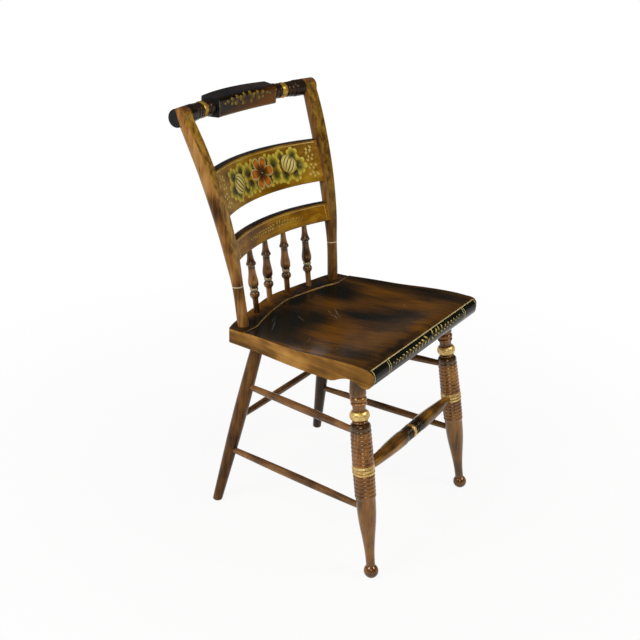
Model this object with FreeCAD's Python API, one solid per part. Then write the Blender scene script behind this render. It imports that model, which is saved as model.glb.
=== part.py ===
import FreeCAD, Part
import math
import os

# A painted and stencilled side chair with a rolled plank seat, turned legs and bent back posts.
# Lengths are in millimetres. The floor is z = 0 and the chair faces -Y.
# Left means the -X side. Right-hand pieces are made first and mirrored.

Vec = FreeCAD.Vector
os.makedirs("parts", exist_ok=True)

# Fits
joint_clearance = 0.1
overrun = 60.0

# Seat
seat_height = 430.0
seat_depth = 385.5
seat_front_y = -236.0
seat_front_half_width = 207.5
seat_rear_half_width = 190.0
seat_rear_bow = 36.0
seat_corner_radius = 10.0
seat_rear_corner_radius = 6.0
seat_board_count = 4
seat_nose_depth = 89.5
seat_nose_height = 39.3
seat_front_rise = 28.3
seat_rear_thickness = 35.5
seat_dish = 11.5
seat_deck_fall = 3.5
seat_deck_depth = 66.0
post_socket_depth = 22.0
spindle_socket_depth = 14.0

# Front legs
front_leg_radius = 19.0
front_leg_side_inset = 40.2
front_leg_front_inset = 60.8
front_leg_splay = 24.7
front_leg_rake = 82.4
front_leg_tenon_rise = 13.0
reed_radius = 21.3
reed_depth = 1.4
lower_reed_count = 6
upper_reed_count = 9
band_radius = 22.0
band_bead_count = 2

# Rear legs
rear_leg_radius = 15.0
rear_leg_side_inset = 68.3
rear_leg_rear_inset = 74.6
rear_leg_splay = 71.9
rear_leg_rake = 67.2
rear_leg_socket_stop = 12.0
rear_foot_rounding = 2.5

# Stretchers
side_stretcher_radius = 8.25
rear_stretcher_radius = 7.7
stretcher_tenon_radius = 6.4
stretcher_stop = 4.0
stretcher_blind_gap = 1.0
upper_stretcher_front_height = 302.0
upper_stretcher_rear_height = 284.0
lower_stretcher_front_height = 147.0
lower_stretcher_rear_height = 130.0
rear_stretcher_height = 207.0
front_stretcher_height = 226.5
front_stretcher_radius = 14.8
fine_ring_count = 3
fine_ring_depth = 0.9

# Back posts
post_radius = 17.0
post_side_inset = 29.3
post_rear_inset = 52.0
post_straight_rise = 40.0
post_splay_share = 0.062
post_lean_share = 0.11
post_front_offset_at_top = 8.0

# Crest rail
crest_rise = 408.3
crest_setback = 98.0
crest_bend_radius = 500.0
crest_end_radius = 17.6
crest_block_half_length = 95.0
crest_block_front_offset = 22.5
crest_block_back_offset = 19.0
crest_block_front_bow = 4.2
crest_block_back_bow = 12.0
crest_block_height = 37.5
crest_block_back_rise = 4.5
crest_block_rounding = 4.0
crest_block_brow_rounding = 9.0
crest_end_rounding = 1.2

# Slats
wide_slat_rise = 221.0
wide_slat_height = 84.0
wide_slat_thickness = 17.0
wide_slat_setback = 15.5
wide_slat_lean = 34.5
wide_slat_bend_radius = 400.0
lower_slat_rise = 136.0
lower_slat_height = 38.5
lower_slat_thickness = 17.0
lower_slat_setback = -10.5
lower_slat_lean = 11.5
lower_slat_bend_radius = 415.0
slat_end_inset = 8.5
slat_edge_rounding = 1.2

# Spindles
spindle_radius = 10.8
outer_spindle_x = 93.2
inner_spindle_x = 31.5
outer_spindle_splay = 2.0
inner_spindle_splay = 0.1
outer_spindle_rear_inset = 33.7
inner_spindle_rear_inset = 20.6
spindle_tenon_length = 9.0

# Values that follow from the ones above
seat_rear_y = seat_front_y + seat_depth
seat_top_z = seat_height + seat_front_rise
crest_height = seat_height + crest_rise

# Turned outlines: pairs of (share of the length, share of the greatest radius)
front_leg_lower_shares = [
    ("start", [(-0.0026, 0.0)]),
    ("arc", [(0.0314, 0.768), (0.0584, 0.468)]),
    ("line", [(0.0674, 0.468)]),
    ("curve", [(0.0847, 0.471), (0.1102, 0.489), (0.1356, 0.524), (0.1607, 0.574), (0.1858, 0.637),
               (0.2109, 0.700), (0.2360, 0.776), (0.2609, 0.845), (0.2856, 0.905), (0.3105, 0.950),
               (0.3395, 0.984), (0.3674, 1.000), (0.4000, 1.000)]),
]
front_leg_upper_shares = [
    ("arc", [(0.7350, 1.050), (0.7465, 0.960)]),
    ("line", [(0.7505, 0.830)]),
    ("line", [(0.7525, 0.690)]),
    ("arc", [(0.7582, 0.790), (0.7640, 0.690)]),
    ("arc", [(0.7888, 1.000), (0.8110, 0.690)]),
    ("curve", [(0.8150, 0.655), (0.8230, 0.650), (0.8310, 0.680), (0.8370, 0.740)]),
    ("arc", [(0.8428, 0.815), (0.8485, 0.745)]),
    ("line", [(0.8505, 0.690)]),
    ("arc", [(0.8612, 0.850), (0.8720, 0.740)]),
    ("line", [(0.8740, 0.700)]),
    ("curve", [(0.8800, 0.790), (0.8920, 0.825), (0.9080, 0.812), (0.9302, 0.755), (0.9465, 0.705),
               (0.9605, 0.674), (0.9744, 0.658)]),
]
front_leg_tenon_share = 0.658
lower_reeds_start_share = 0.4016
band_start_share = 0.5133
band_end_share = 0.5549
upper_reeds_end_share = 0.7230
lower_reed_radius_share = 0.972
upper_reed_radius_share = 0.948
rear_leg_shares = [
    ("start", [(-0.0140, 0.693)]),
    ("curve", [(0.0, 0.700), (0.0465, 0.733), (0.1395, 0.800), (0.2326, 0.867), (0.3256, 0.933),
               (0.4419, 0.987), (0.5581, 1.000), (0.6977, 0.960), (0.8023, 0.913), (0.8721, 0.867),
               (0.9070, 0.853)]),
]
rear_leg_tenon_share = 0.853
stretcher_shoulder_share = 0.055
front_stretcher_ring_shares = [
    ("arc", [(0.0134, 1.000), (0.0251, 0.860)]),
    ("arc", [(0.0492, 0.990), (0.0726, 0.860)]),
    ("line", [(0.0793, 0.770)]),
]
front_stretcher_middle_share = 1.014
fine_rings_start_share = 0.0810
fine_rings_end_share = 0.1520
fine_ring_radius_share = 0.980
front_stretcher_body_shares = [
    ("line", [(0.1542, 0.960)]),
    ("curve", [(0.1899, 1.020), (0.2682, 1.040), (0.3911, 1.000), (0.5307, 0.920), (0.6425, 0.838),
               (0.7374, 0.764), (0.8156, 0.676), (0.8603, 0.608), (0.8939, 0.581)]),
]
front_stretcher_tenon_share = 0.581
spindle_shares = [
    ("line", [(0.1985, 0.565)]),
    ("line", [(0.2316, 0.640)]),
    ("arc", [(0.2831, 0.980), (0.3300, 0.740)]),
    ("line", [(0.3480, 0.700)]),
    ("arc", [(0.3720, 0.830), (0.3941, 0.720)]),
    ("curve", [(0.4191, 0.900), (0.4669, 1.000), (0.5147, 0.960), (0.5735, 0.830), (0.6397, 0.715),
               (0.6985, 0.680), (0.7400, 0.690)]),
    ("line", [(0.7470, 0.830)]),
    ("arc", [(0.7690, 0.965), (0.7900, 0.860)]),
    ("curve", [(0.8300, 0.700), (0.8900, 0.580), (1.0, 0.465)]),
]
spindle_foot_share = 0.565
spindle_top_share = 0.465
crest_end_shares = [
    ("curve", [(0.0331, 0.920), (0.0826, 0.960), (0.1240, 0.920), (0.1488, 0.841)]),
    ("line", [(0.1554, 0.830)]),
    ("arc", [(0.1884, 0.909), (0.2198, 0.852)]),
    ("line", [(0.2264, 0.841)]),
    ("arc", [(0.2835, 0.937), (0.3405, 0.847)]),
    ("line", [(0.3471, 0.818)]),
    ("arc", [(0.3901, 0.903), (0.4331, 0.841)]),
    ("arc", [(0.4810, 0.937), (0.5273, 0.875)]),
    ("line", [(0.5339, 0.875)]),
    ("curve", [(0.5438, 0.955), (0.5620, 0.989), (0.5868, 1.000)]),
]
crest_end_start_share = 0.830
crest_block_low_share = 0.54

# Back posts: (share of the rise to the crest, share of the greatest radius)
post_radius_shares = [
    (0.0, 0.676), (0.098, 0.665), (0.208, 0.665), (0.269, 0.735), (0.331, 0.824), (0.392, 0.882),
    (0.446, 0.918), (0.539, 0.971), (0.637, 1.0), (0.747, 1.0), (0.857, 1.0), (0.936, 0.965),
    (1.0, 0.924), (1.04, 0.906),
]
# Shaved fronts: (share of the rise, distance of the flat from the axis as a share of the radius)
post_flat_shares = [
    (0.225, 0.700), (0.269, 0.690), (0.331, 0.685), (0.446, 0.720), (0.637, 0.740), (0.747, 0.715),
    (0.857, 0.660), (0.936, 0.570),
]
# Lap joint line on the crest's end circle, in shares of its radius: (behind the centre, above it)
lap_low_shares = (-0.51, -0.86)
lap_high_shares = (0.11, 0.99)

# Seat side outline: (share of the depth, share of the way from rear to front half width)
seat_side_shares = [
    (0.102, 1.0), (0.193, 1.0), (0.270, 0.971), (0.349, 0.914), (0.479, 0.743), (0.606, 0.457),
    (0.751, 0.143), (0.850, 0.029),
]
# Rear edge: (share of the half width, share of the bow)
seat_rear_shares = [
    (0.0, 0.0), (0.21, 0.125), (0.337, 0.264), (0.51, 0.430), (0.674, 0.600), (0.816, 0.735),
    (0.900, 0.860),
]
# Underside hollow and rolled front: (share of the nose depth, share of the nose height)
seat_cove_shares = [
    (1.0, -0.483), (0.922, -0.420), (0.844, -0.318), (0.765, -0.216), (0.687, -0.140), (0.553, -0.076),
    (0.464, -0.102), (0.385, -0.153), (0.307, -0.229), (0.240, -0.272),
]
seat_nose_shares = [
    (0.240, -0.272), (0.173, -0.285), (0.084, -0.183), (0.022, 0.038), (0.0, 0.280), (0.022, 0.483),
    (0.084, 0.631),
]
seat_nose_top_share = 0.207
# Seat surface: (share of the depth, share of the front rise at the sides, share of the dish)
seat_surface_shares = [
    (0.042, 0.9960, -0.004), (0.066, 0.9900, 0.004), (0.095, 0.9850, 0.095), (0.134, 0.9610, 0.296),
    (0.193, 0.8900, 0.574), (0.245, 0.8120, 0.748), (0.349, 0.6360, 0.957), (0.479, 0.4310, 1.0),
    (0.606, 0.3360, 0.957), (0.751, 0.1940, 0.748), (0.818, 0.0990, 0.548), (0.886, 0.0320, 0.330),
    (0.960, 0.0, 0.150),
]
seat_saddle_front_share = 0.066
seat_dish_power = 2.6
seat_dish_column_shares = [-1.12, -1.0, -0.88, -0.74, -0.58, -0.40, -0.20, 0.0, 0.20, 0.40, 0.58, 0.74,
                           0.88, 1.0, 1.12]
# Ridge behind the sitting hollow: (share of the rear half width, share of the depth)
seat_ridge_shares = [
    (1.25, 0.800), (0.92, 0.800), (0.763, 0.803), (0.620, 0.828), (0.368, 0.862), (0.080, 0.887),
]
seat_deck_front_share = 0.800


# Helpers
def share_between(start, end, share):
    return start + (end - start) * share


def turned(start, end, radius, steps):
    """A turning along the line start-end, from steps in shares of its length and radius."""
    length = (end - start).Length

    def place(pair):
        return Vec(pair[1] * radius, 0, pair[0] * length)

    here = place(steps[0][1][0])
    first = Vec(0, 0, here.z)
    edges = []
    if here.x > 0:
        edges.append(Part.LineSegment(first, here).toShape())
    for kind, pairs in steps[1:]:
        points = [place(pair) for pair in pairs]
        if kind == "line":
            edges.append(Part.LineSegment(here, points[-1]).toShape())
        elif kind == "arc":
            edges.append(Part.Arc(here, points[0], points[1]).toShape())
        else:
            curve = Part.BSplineCurve()
            curve.interpolate([here] + points)
            edges.append(curve.toShape())
        here = points[-1]
    last = Vec(0, 0, here.z)
    edges.append(Part.LineSegment(here, last).toShape())
    edges.append(Part.LineSegment(last, first).toShape())
    face = Part.Face(Part.Wire(edges))
    solid = face.revolve(Vec(0, 0, 0), Vec(0, 0, 1), 360)
    turn = FreeCAD.Rotation(Vec(0, 0, 1), end - start)
    solid.Placement = FreeCAD.Placement(start, turn)
    return solid


def rod(start, end, radius):
    """A plain cylinder between two points."""
    return Part.makeCylinder(radius, (end - start).Length, start, end - start)


def beads(start_share, end_share, count, start_crest_share, end_crest_share, depth_share):
    """Steps for a row of equal rounded rings."""
    steps = []
    for index in range(count):
        middle = share_between(start_share, end_share, (index + 0.5) / count)
        after = share_between(start_share, end_share, (index + 1) / count)
        crest = share_between(start_crest_share, end_crest_share, (index + 0.5) / count)
        steps.append(("arc", [(middle, crest), (after, crest - depth_share)]))
    return steps


def mirrored(shape):
    return shape.mirror(Vec(0, 0, 0), Vec(1, 0, 0))


def wire_of(edges):
    return Part.Wire(Part.__sortEdges__(edges))


def prism_x(points, half_width):
    """A solid from a closed outline in the YZ plane, running across the chair."""
    corners = [Vec(-half_width, y, z) for y, z in points]
    face = Part.Face(Part.makePolygon(corners + [corners[0]]))
    return face.extrude(Vec(2 * half_width, 0, 0))


# Lines that the pieces are set out on
def front_leg_foot():
    top = front_leg_top()
    return Vec(top.x + front_leg_splay, top.y - front_leg_rake, 0)


def front_leg_top():
    return Vec(seat_front_half_width - front_leg_side_inset, seat_front_y + front_leg_front_inset, seat_height)


def rear_leg_top():
    return Vec(seat_rear_half_width - rear_leg_side_inset, seat_rear_y - rear_leg_rear_inset, seat_height)


def rear_leg_foot():
    top = rear_leg_top()
    return Vec(top.x + rear_leg_splay, top.y + rear_leg_rake, 0)


def at_height(foot, top, height):
    return foot + (top - foot) * ((height - foot.z) / (top.z - foot.z))


def crest_axis_y(x):
    sag = crest_bend_radius - math.sqrt(crest_bend_radius ** 2 - x * x)
    return seat_rear_y + crest_setback - sag


end_turn = math.asin(crest_block_half_length / crest_bend_radius)
along_end = Vec(math.cos(end_turn), -math.sin(end_turn), 0)
behind_end = Vec(math.sin(end_turn), math.cos(end_turn), 0)
crest_end_start = Vec(crest_block_half_length, crest_axis_y(crest_block_half_length), crest_height)


def post_base():
    return Vec(seat_rear_half_width - post_side_inset, seat_rear_y - post_rear_inset, seat_height)


def post_straight(height):
    rise = height - seat_height
    return post_base() + Vec(post_splay_share * rise, post_lean_share * rise, rise)


def post_bend_rate():
    """Bend that brings the shaved front of the post flush with the front of the crest's end."""
    wanted = crest_end_start.dot(behind_end) - (crest_end_radius - post_front_offset_at_top)
    straight = post_straight(crest_height).dot(behind_end)
    return (wanted - straight) / (crest_rise - post_straight_rise) ** 2


def post_axis(height):
    past = max(0, height - seat_height - post_straight_rise)
    return post_straight(height) + behind_end * (post_bend_rate() * past * past)


def post_direction(height):
    past = max(0, height - seat_height - post_straight_rise)
    return Vec(post_splay_share, post_lean_share, 1) + behind_end * (2 * post_bend_rate() * past)


def post_radius_at(rise_share):
    for (low, low_radius), (high, high_radius) in zip(post_radius_shares, post_radius_shares[1:]):
        if rise_share <= high:
            way = (rise_share - low) / (high - low)
            return post_radius * share_between(low_radius, high_radius, way)
    return post_radius * post_radius_shares[-1][1]


def crest_end_length():
    outer = post_axis(crest_height).dot(along_end) + post_radius_at(1)
    return outer - crest_end_start.dot(along_end)


def slat_outline(height, front_y, thickness, bend_radius, end_x, grow):
    """A bent strip's closed outline in one level plane."""
    wires = []
    for offset in (-grow, thickness + grow):
        sag = end_x * end_x / (2 * bend_radius)
        y = front_y + offset
        left = Vec(-end_x, y - sag, height)
        right = Vec(end_x, y - sag, height)
        wires.append((left, Vec(0, y, height), right))
    front, back = wires
    edges = [
        Part.Arc(*front).toShape(),
        Part.LineSegment(front[2], back[2]).toShape(),
        Part.Arc(back[2], back[1], back[0]).toShape(),
        Part.LineSegment(back[0], front[0]).toShape(),
    ]
    return Part.Wire(edges)


def bent_slat(rise, height, thickness, setback, lean, bend_radius, grow):
    """A slat bent in plan and leaning back, with its ends inside the posts."""
    levels = []
    for share in (0, 1):
        sign = 2 * share - 1
        z = seat_height + rise + height * share + sign * grow
        y = seat_rear_y + setback + lean * (share + sign * grow / height)
        end_x = post_axis(z).x - slat_end_inset + grow
        levels.append(slat_outline(z, y, thickness, bend_radius, end_x, grow))
    return Part.makeLoft(levels, True, True)


def eased(slat):
    """The same slat with its long edges rounded."""
    long_edges = [edge for edge in slat.Edges if edge.Length > seat_rear_half_width]
    return slat.makeFillet(slat_edge_rounding, long_edges)


def wide_slat(grow=0):
    return bent_slat(wide_slat_rise, wide_slat_height, wide_slat_thickness, wide_slat_setback,
                     wide_slat_lean, wide_slat_bend_radius, grow)


def lower_slat(grow=0):
    return bent_slat(lower_slat_rise, lower_slat_height, lower_slat_thickness, lower_slat_setback,
                     lower_slat_lean, lower_slat_bend_radius, grow)


def spindle_ends(x, splay, rear_inset):
    """Foot on the seat deck and head under the lower slat, centred in its thickness."""
    head_x = x + splay
    head_y = (seat_rear_y + lower_slat_setback + lower_slat_thickness / 2
              - head_x * head_x / (2 * lower_slat_bend_radius))
    foot = Vec(x, seat_rear_y - rear_inset, seat_height)
    return foot, Vec(head_x, head_y, seat_height + lower_slat_rise)


spindle_lines = [
    spindle_ends(outer_spindle_x, outer_spindle_splay, outer_spindle_rear_inset),
    spindle_ends(inner_spindle_x, inner_spindle_splay, inner_spindle_rear_inset),
]


def stretcher_ends(kind):
    """Meeting points of a stretcher with the leg axes, rear or left end first."""
    front = (front_leg_foot(), front_leg_top())
    rear = (rear_leg_foot(), rear_leg_top())
    if kind == "upper":
        return at_height(*rear, upper_stretcher_rear_height), at_height(*front, upper_stretcher_front_height)
    if kind == "lower":
        return at_height(*rear, lower_stretcher_rear_height), at_height(*front, lower_stretcher_front_height)
    line, height = (rear, rear_stretcher_height) if kind == "rear" else (front, front_stretcher_height)
    right = at_height(*line, height)
    return Vec(-right.x, right.y, right.z), right


def stretcher_socket(kind, end, radius):
    """The hole that one end of a stretcher fills, in the leg at that end."""
    ends = stretcher_ends(kind)
    here = ends[end]
    inward = (ends[1 - end] - here).normalize()
    return rod(here + inward * (stretcher_stop - stretcher_blind_gap), here + inward * overrun,
               radius + joint_clearance)


# Legs
def front_leg_steps():
    low = lower_reed_radius_share * reed_radius / front_leg_radius
    full = reed_radius / front_leg_radius
    high = upper_reed_radius_share * reed_radius / front_leg_radius
    groove = reed_depth / front_leg_radius
    band = band_radius / front_leg_radius
    steps = list(front_leg_lower_shares)
    steps.append(("line", [(lower_reeds_start_share, low - groove)]))
    steps += beads(lower_reeds_start_share, band_start_share, lower_reed_count, low, full, groove)
    steps += beads(band_start_share, band_end_share, band_bead_count, band, band, groove)
    steps += beads(band_end_share, upper_reeds_end_share, upper_reed_count, full, high, groove)
    steps += front_leg_upper_shares
    tenon_end = 1 + front_leg_tenon_rise / seat_height
    steps.append(("line", [(tenon_end, front_leg_tenon_share)]))
    return steps


def front_leg():
    foot, top = front_leg_foot(), front_leg_top()
    leg = turned(foot, top, front_leg_radius, front_leg_steps())
    leg = leg.cut(floor_block(foot))
    leg = leg.cut(stretcher_socket("upper", 1, stretcher_tenon_radius))
    leg = leg.cut(stretcher_socket("lower", 1, stretcher_tenon_radius))
    return leg.cut(stretcher_socket("front", 1, front_stretcher_radius * front_stretcher_tenon_share))


def floor_block(foot):
    """What lies below the floor round one foot."""
    corner = Vec(foot.x - overrun, foot.y - overrun, -overrun)
    return Part.makeBox(2 * overrun, 2 * overrun, overrun, corner)


def rear_leg():
    foot, top = rear_leg_foot(), rear_leg_top()
    tenon_end = 1 - rear_leg_socket_stop / seat_height
    steps = rear_leg_shares + [("line", [(tenon_end, rear_leg_tenon_share)])]
    leg = turned(foot, top, rear_leg_radius, steps)
    leg = leg.cut(floor_block(foot))
    sole = [edge for edge in leg.Edges if edge.BoundBox.ZMax < rear_foot_rounding / 2]
    leg = leg.makeFillet(rear_foot_rounding, sole)
    leg = leg.cut(stretcher_socket("upper", 0, stretcher_tenon_radius))
    leg = leg.cut(stretcher_socket("lower", 0, stretcher_tenon_radius))
    return leg.cut(stretcher_socket("rear", 1, stretcher_tenon_radius))


# Stretchers
def plain_stretcher(kind, radius):
    start, end = stretcher_ends(kind)
    length = (end - start).Length
    stop = stretcher_stop / length
    tenon = stretcher_tenon_radius / radius
    steps = [
        ("start", [(stop, tenon)]),
        ("line", [(stretcher_shoulder_share, tenon)]),
        ("arc", [(0.5, 1), (1 - stretcher_shoulder_share, tenon)]),
        ("line", [(1 - stop, tenon)]),
    ]
    return turned(start, end, radius, steps)


def front_stretcher():
    """The turned front stretcher, its right half made first."""
    left, right = stretcher_ends("front")
    middle = (left + right) / 2
    half = (right - middle).Length
    crest = fine_ring_radius_share
    depth = fine_ring_depth / front_stretcher_radius
    steps = [("start", [(0, front_stretcher_middle_share)])]
    steps += front_stretcher_ring_shares
    steps.append(("line", [(fine_rings_start_share, crest - depth)]))
    steps += beads(fine_rings_start_share, fine_rings_end_share, fine_ring_count, crest, crest, depth)
    steps += front_stretcher_body_shares
    steps.append(("line", [(1 - stretcher_stop / half, front_stretcher_tenon_share)]))
    right_half = turned(middle, right, front_stretcher_radius, steps)
    return right_half.fuse(mirrored(right_half)).removeSplitter()


# Back
def crest_end():
    """The turned end of the crest, on its straight line from the block to the post's outer face."""
    length = crest_end_length()
    far = crest_end_start + along_end * length
    rim = crest_end_rounding / length
    rim_share = 1 - crest_end_rounding / crest_end_radius
    steps = [("start", [(-crest_block_rounding / length, crest_end_start_share)])]
    steps.append(("line", [(0, crest_end_start_share)]))
    steps += crest_end_shares
    steps.append(("line", [(1 - rim, 1)]))
    bulge_share = 1 - (1 - math.sqrt(0.5)) * crest_end_rounding / crest_end_radius
    steps.append(("arc", [(1 - rim * (1 - math.sqrt(0.5)), bulge_share), (1, rim_share)]))
    return turned(crest_end_start, far, crest_end_radius, steps)


def crest_block():
    """The pillow block: bowed more at the back than at the front, its top sloping up to the back."""
    low = crest_height - crest_block_height * crest_block_low_share
    high = low + crest_block_height
    front = crest_end_start - behind_end * crest_block_front_offset
    back = crest_end_start + behind_end * crest_block_back_offset
    front_middle = front.y + crest_block_front_bow
    back_middle = back.y + crest_block_back_bow

    def at(x, y):
        return Vec(x, y, low)

    edges = [
        Part.Arc(at(-front.x, front.y), at(0, front_middle), at(front.x, front.y)).toShape(),
        Part.LineSegment(at(front.x, front.y), at(back.x, back.y)).toShape(),
        Part.Arc(at(back.x, back.y), at(0, back_middle), at(-back.x, back.y)).toShape(),
        Part.LineSegment(at(-back.x, back.y), at(-front.x, front.y)).toShape(),
    ]
    block = Part.Face(Part.Wire(edges)).extrude(Vec(0, 0, 2 * crest_block_height))
    slope = crest_block_back_rise / (back_middle - front.y)
    air = [
        (front.y - overrun, high - slope * overrun),
        (back_middle + overrun, high + crest_block_back_rise + slope * overrun),
        (back_middle + overrun, high + 3 * crest_block_height),
        (front.y - overrun, high + 3 * crest_block_height),
    ]
    block = block.cut(prism_x(air, 2 * crest_block_half_length))
    long_edges = [edge for edge in block.Edges if edge.Length > crest_block_half_length]
    middle_y = crest_end_start.y
    brow = [edge for edge in long_edges if edge.CenterOfMass.y < middle_y
            and edge.CenterOfMass.z > crest_height]
    block = block.makeFillet(crest_block_brow_rounding, brow)
    rest = [edge for edge in block.Edges if edge.Length > crest_block_half_length
            and (edge.CenterOfMass.z < low + joint_clearance
                 or edge.CenterOfMass.y > crest_axis_y(0) + crest_block_rounding)]
    return block.makeFillet(crest_block_rounding, rest)


def lap_region(side_start, side_end, grow):
    """The space in front of the lap joint's sloping face, over a stretch of the crest's end."""
    radius = crest_end_radius
    low_back, low_up = (share * radius for share in lap_low_shares)
    high_back, high_up = (share * radius for share in lap_high_shares)
    slope = (high_back - low_back) / (high_up - low_up)
    reach = 2 * radius

    def point(back, up):
        return crest_end_start + along_end * side_start + behind_end * back + Vec(0, 0, up)

    corners = [
        point(-reach, -reach),
        point(low_back - slope * (reach + low_up) + grow, -reach),
        point(high_back + slope * (reach - high_up) + grow, reach),
        point(-reach, reach),
    ]
    face = Part.Face(Part.makePolygon(corners + [corners[0]]))
    return face.extrude(along_end * (side_end - side_start))


def lap_inner():
    return crest_end_length() - 2 * post_radius_at(1)


def crest_rail():
    end = crest_end()
    lap = lap_region(lap_inner() - joint_clearance, crest_end_length() + overrun, joint_clearance)
    end = end.cut(lap)
    rail = crest_block().fuse(end)
    return rail.fuse(mirrored(end)).removeSplitter()


def post_flat_cutter():
    """Everything in front of the shaved face of the post."""
    front = []
    for rise_share, depth_share in post_flat_shares:
        z = seat_height + crest_rise * rise_share
        depth = post_radius * depth_share
        front.append((post_axis(z).dot(behind_end) - depth, z))
    front.append((crest_end_start.dot(behind_end) - crest_end_radius, crest_height))
    side = post_axis(crest_height).dot(along_end) - 2 * overrun

    def point(back, z):
        return along_end * side + behind_end * back + Vec(0, 0, z)

    curve = Part.BSplineCurve()
    curve.interpolate([point(back, z) for back, z in front])
    first, last = point(*front[0]), point(*front[-1])
    above = Vec(last.x, last.y, crest_height + overrun)
    far_top = above - behind_end * (3 * overrun)
    far_low = first - behind_end * overrun
    far_top_low = Vec(far_top.x, far_top.y, first.z)
    edges = [
        curve.toShape(),
        Part.LineSegment(last, above).toShape(),
        Part.LineSegment(above, far_top).toShape(),
        Part.LineSegment(far_top, far_top_low).toShape(),
        Part.LineSegment(far_top_low, first).toShape(),
    ]
    return Part.Face(Part.Wire(edges)).extrude(along_end * (3 * overrun))


def post_stock():
    """The bent round post from its foot in the seat to the crest's height."""
    sections = []
    low = -post_socket_depth / crest_rise
    stations = [(low, post_radius_shares[0][1])] + post_radius_shares
    for rise_share, radius_share in stations:
        z = seat_height + crest_rise * rise_share
        circle = Part.makeCircle(post_radius * radius_share, post_axis(z), post_direction(z))
        sections.append(Part.Wire([circle]))
    return Part.makeLoft(sections, True, False)


def above_crest_axis():
    corner = Vec(0, seat_front_y, crest_height)
    return Part.makeBox(seat_depth, 2 * seat_depth, seat_depth, corner)


def crest_end_rod(grow):
    far = crest_end_start + along_end * (crest_end_length() + overrun)
    return rod(crest_end_start, far, crest_end_radius + grow)


def post():
    body = post_stock().cut(post_flat_cutter())
    body = body.cut(above_crest_axis())
    behind_lap = crest_end_rod(joint_clearance).cut(lap_region(0, crest_end_length() + 2 * overrun, 0))
    body = body.cut(behind_lap)
    tongue = crest_end_rod(0).common(lap_region(lap_inner(), crest_end_length(), 0))
    body = body.fuse(tongue).removeSplitter()
    body = body.cut(wide_slat(joint_clearance))
    return body.cut(lower_slat(joint_clearance))


def lower_slat_piece():
    slat = eased(lower_slat())
    for foot, head in spindle_lines:
        up = (head - foot).normalize()
        hole = rod(head - up * overrun, head + up * (spindle_tenon_length + stretcher_blind_gap),
                   spindle_radius * spindle_top_share + joint_clearance)
        slat = slat.cut(hole).cut(mirrored(hole))
    return slat


def spindle(foot, head):
    length = (head - foot).Length
    steps = [("start", [(-spindle_socket_depth / length, spindle_foot_share)])]
    steps += spindle_shares
    steps.append(("line", [(1 + spindle_tenon_length / length, spindle_top_share)]))
    return turned(foot, head, spindle_radius, steps)


# Seat
def seat_plan():
    """The seat's outline from above, as a tall prism."""
    front = seat_front_y
    half = seat_front_half_width
    rear_half = seat_rear_half_width
    corner = seat_corner_radius
    rear_corner = seat_rear_corner_radius
    bow_y = seat_rear_y - seat_rear_bow
    low = seat_height - seat_depth
    bend = 1 - math.sqrt(0.5)
    side = [(half, front + corner)]
    for depth_share, width_share in seat_side_shares:
        side.append((share_between(rear_half, half, width_share), front + seat_depth * depth_share))
    side.append((rear_half, bow_y - rear_corner))
    rear = [(rear_half - rear_corner, bow_y)]
    for width_share, bow_share in reversed(seat_rear_shares):
        rear.append((rear_half * width_share, seat_rear_y - seat_rear_bow * bow_share))
    rear += [(-x, y) for x, y in reversed(rear[:-1])]

    def at(x, y):
        return Vec(x, y, low)

    edges = [Part.LineSegment(at(corner - half, front), at(half - corner, front)).toShape()]
    for sign in (1, -1):
        edges.append(Part.Arc(at(sign * (half - corner), front),
                              at(sign * (half - corner * bend), front + corner * bend),
                              at(sign * half, front + corner)).toShape())
        curve = Part.BSplineCurve()
        curve.interpolate([at(sign * x, y) for x, y in side])
        edges.append(curve.toShape())
        edges.append(Part.Arc(at(sign * rear_half, bow_y - rear_corner),
                              at(sign * (rear_half - rear_corner * bend), bow_y - rear_corner * bend),
                              at(sign * (rear_half - rear_corner), bow_y)).toShape())
    curve = Part.BSplineCurve()
    curve.interpolate([at(x, y) for x, y in rear])
    edges.append(curve.toShape())
    return Part.Face(wire_of(edges)).extrude(Vec(0, 0, 2 * seat_depth))


def seat_section():
    """The seat's side view: level top, rolled front, hollow under it and sloping underside."""
    side = -seat_front_half_width - overrun

    def at(pair):
        depth_share, height_share = pair
        return Vec(side, seat_front_y + seat_nose_depth * depth_share,
                   seat_height + seat_nose_height * height_share)

    back_y = seat_rear_y + overrun
    nose_top = Vec(side, seat_front_y + seat_nose_depth * seat_nose_top_share, seat_top_z)
    under = at(seat_cove_shares[0])
    back_low = Vec(side, back_y, seat_height - seat_rear_thickness)
    back_high = Vec(side, back_y, seat_top_z)
    cove = Part.BSplineCurve()
    cove.interpolate([at(pair) for pair in seat_cove_shares])
    nose = Part.BSplineCurve()
    nose.interpolate([at(pair) for pair in seat_nose_shares] + [nose_top])
    edges = [
        Part.LineSegment(back_low, under).toShape(),
        cove.toShape(),
        nose.toShape(),
        Part.LineSegment(nose_top, back_high).toShape(),
        Part.LineSegment(back_high, back_low).toShape(),
    ]
    return Part.Face(Part.Wire(edges)).extrude(Vec(2 * (seat_front_half_width + overrun), 0, 0))


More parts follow.
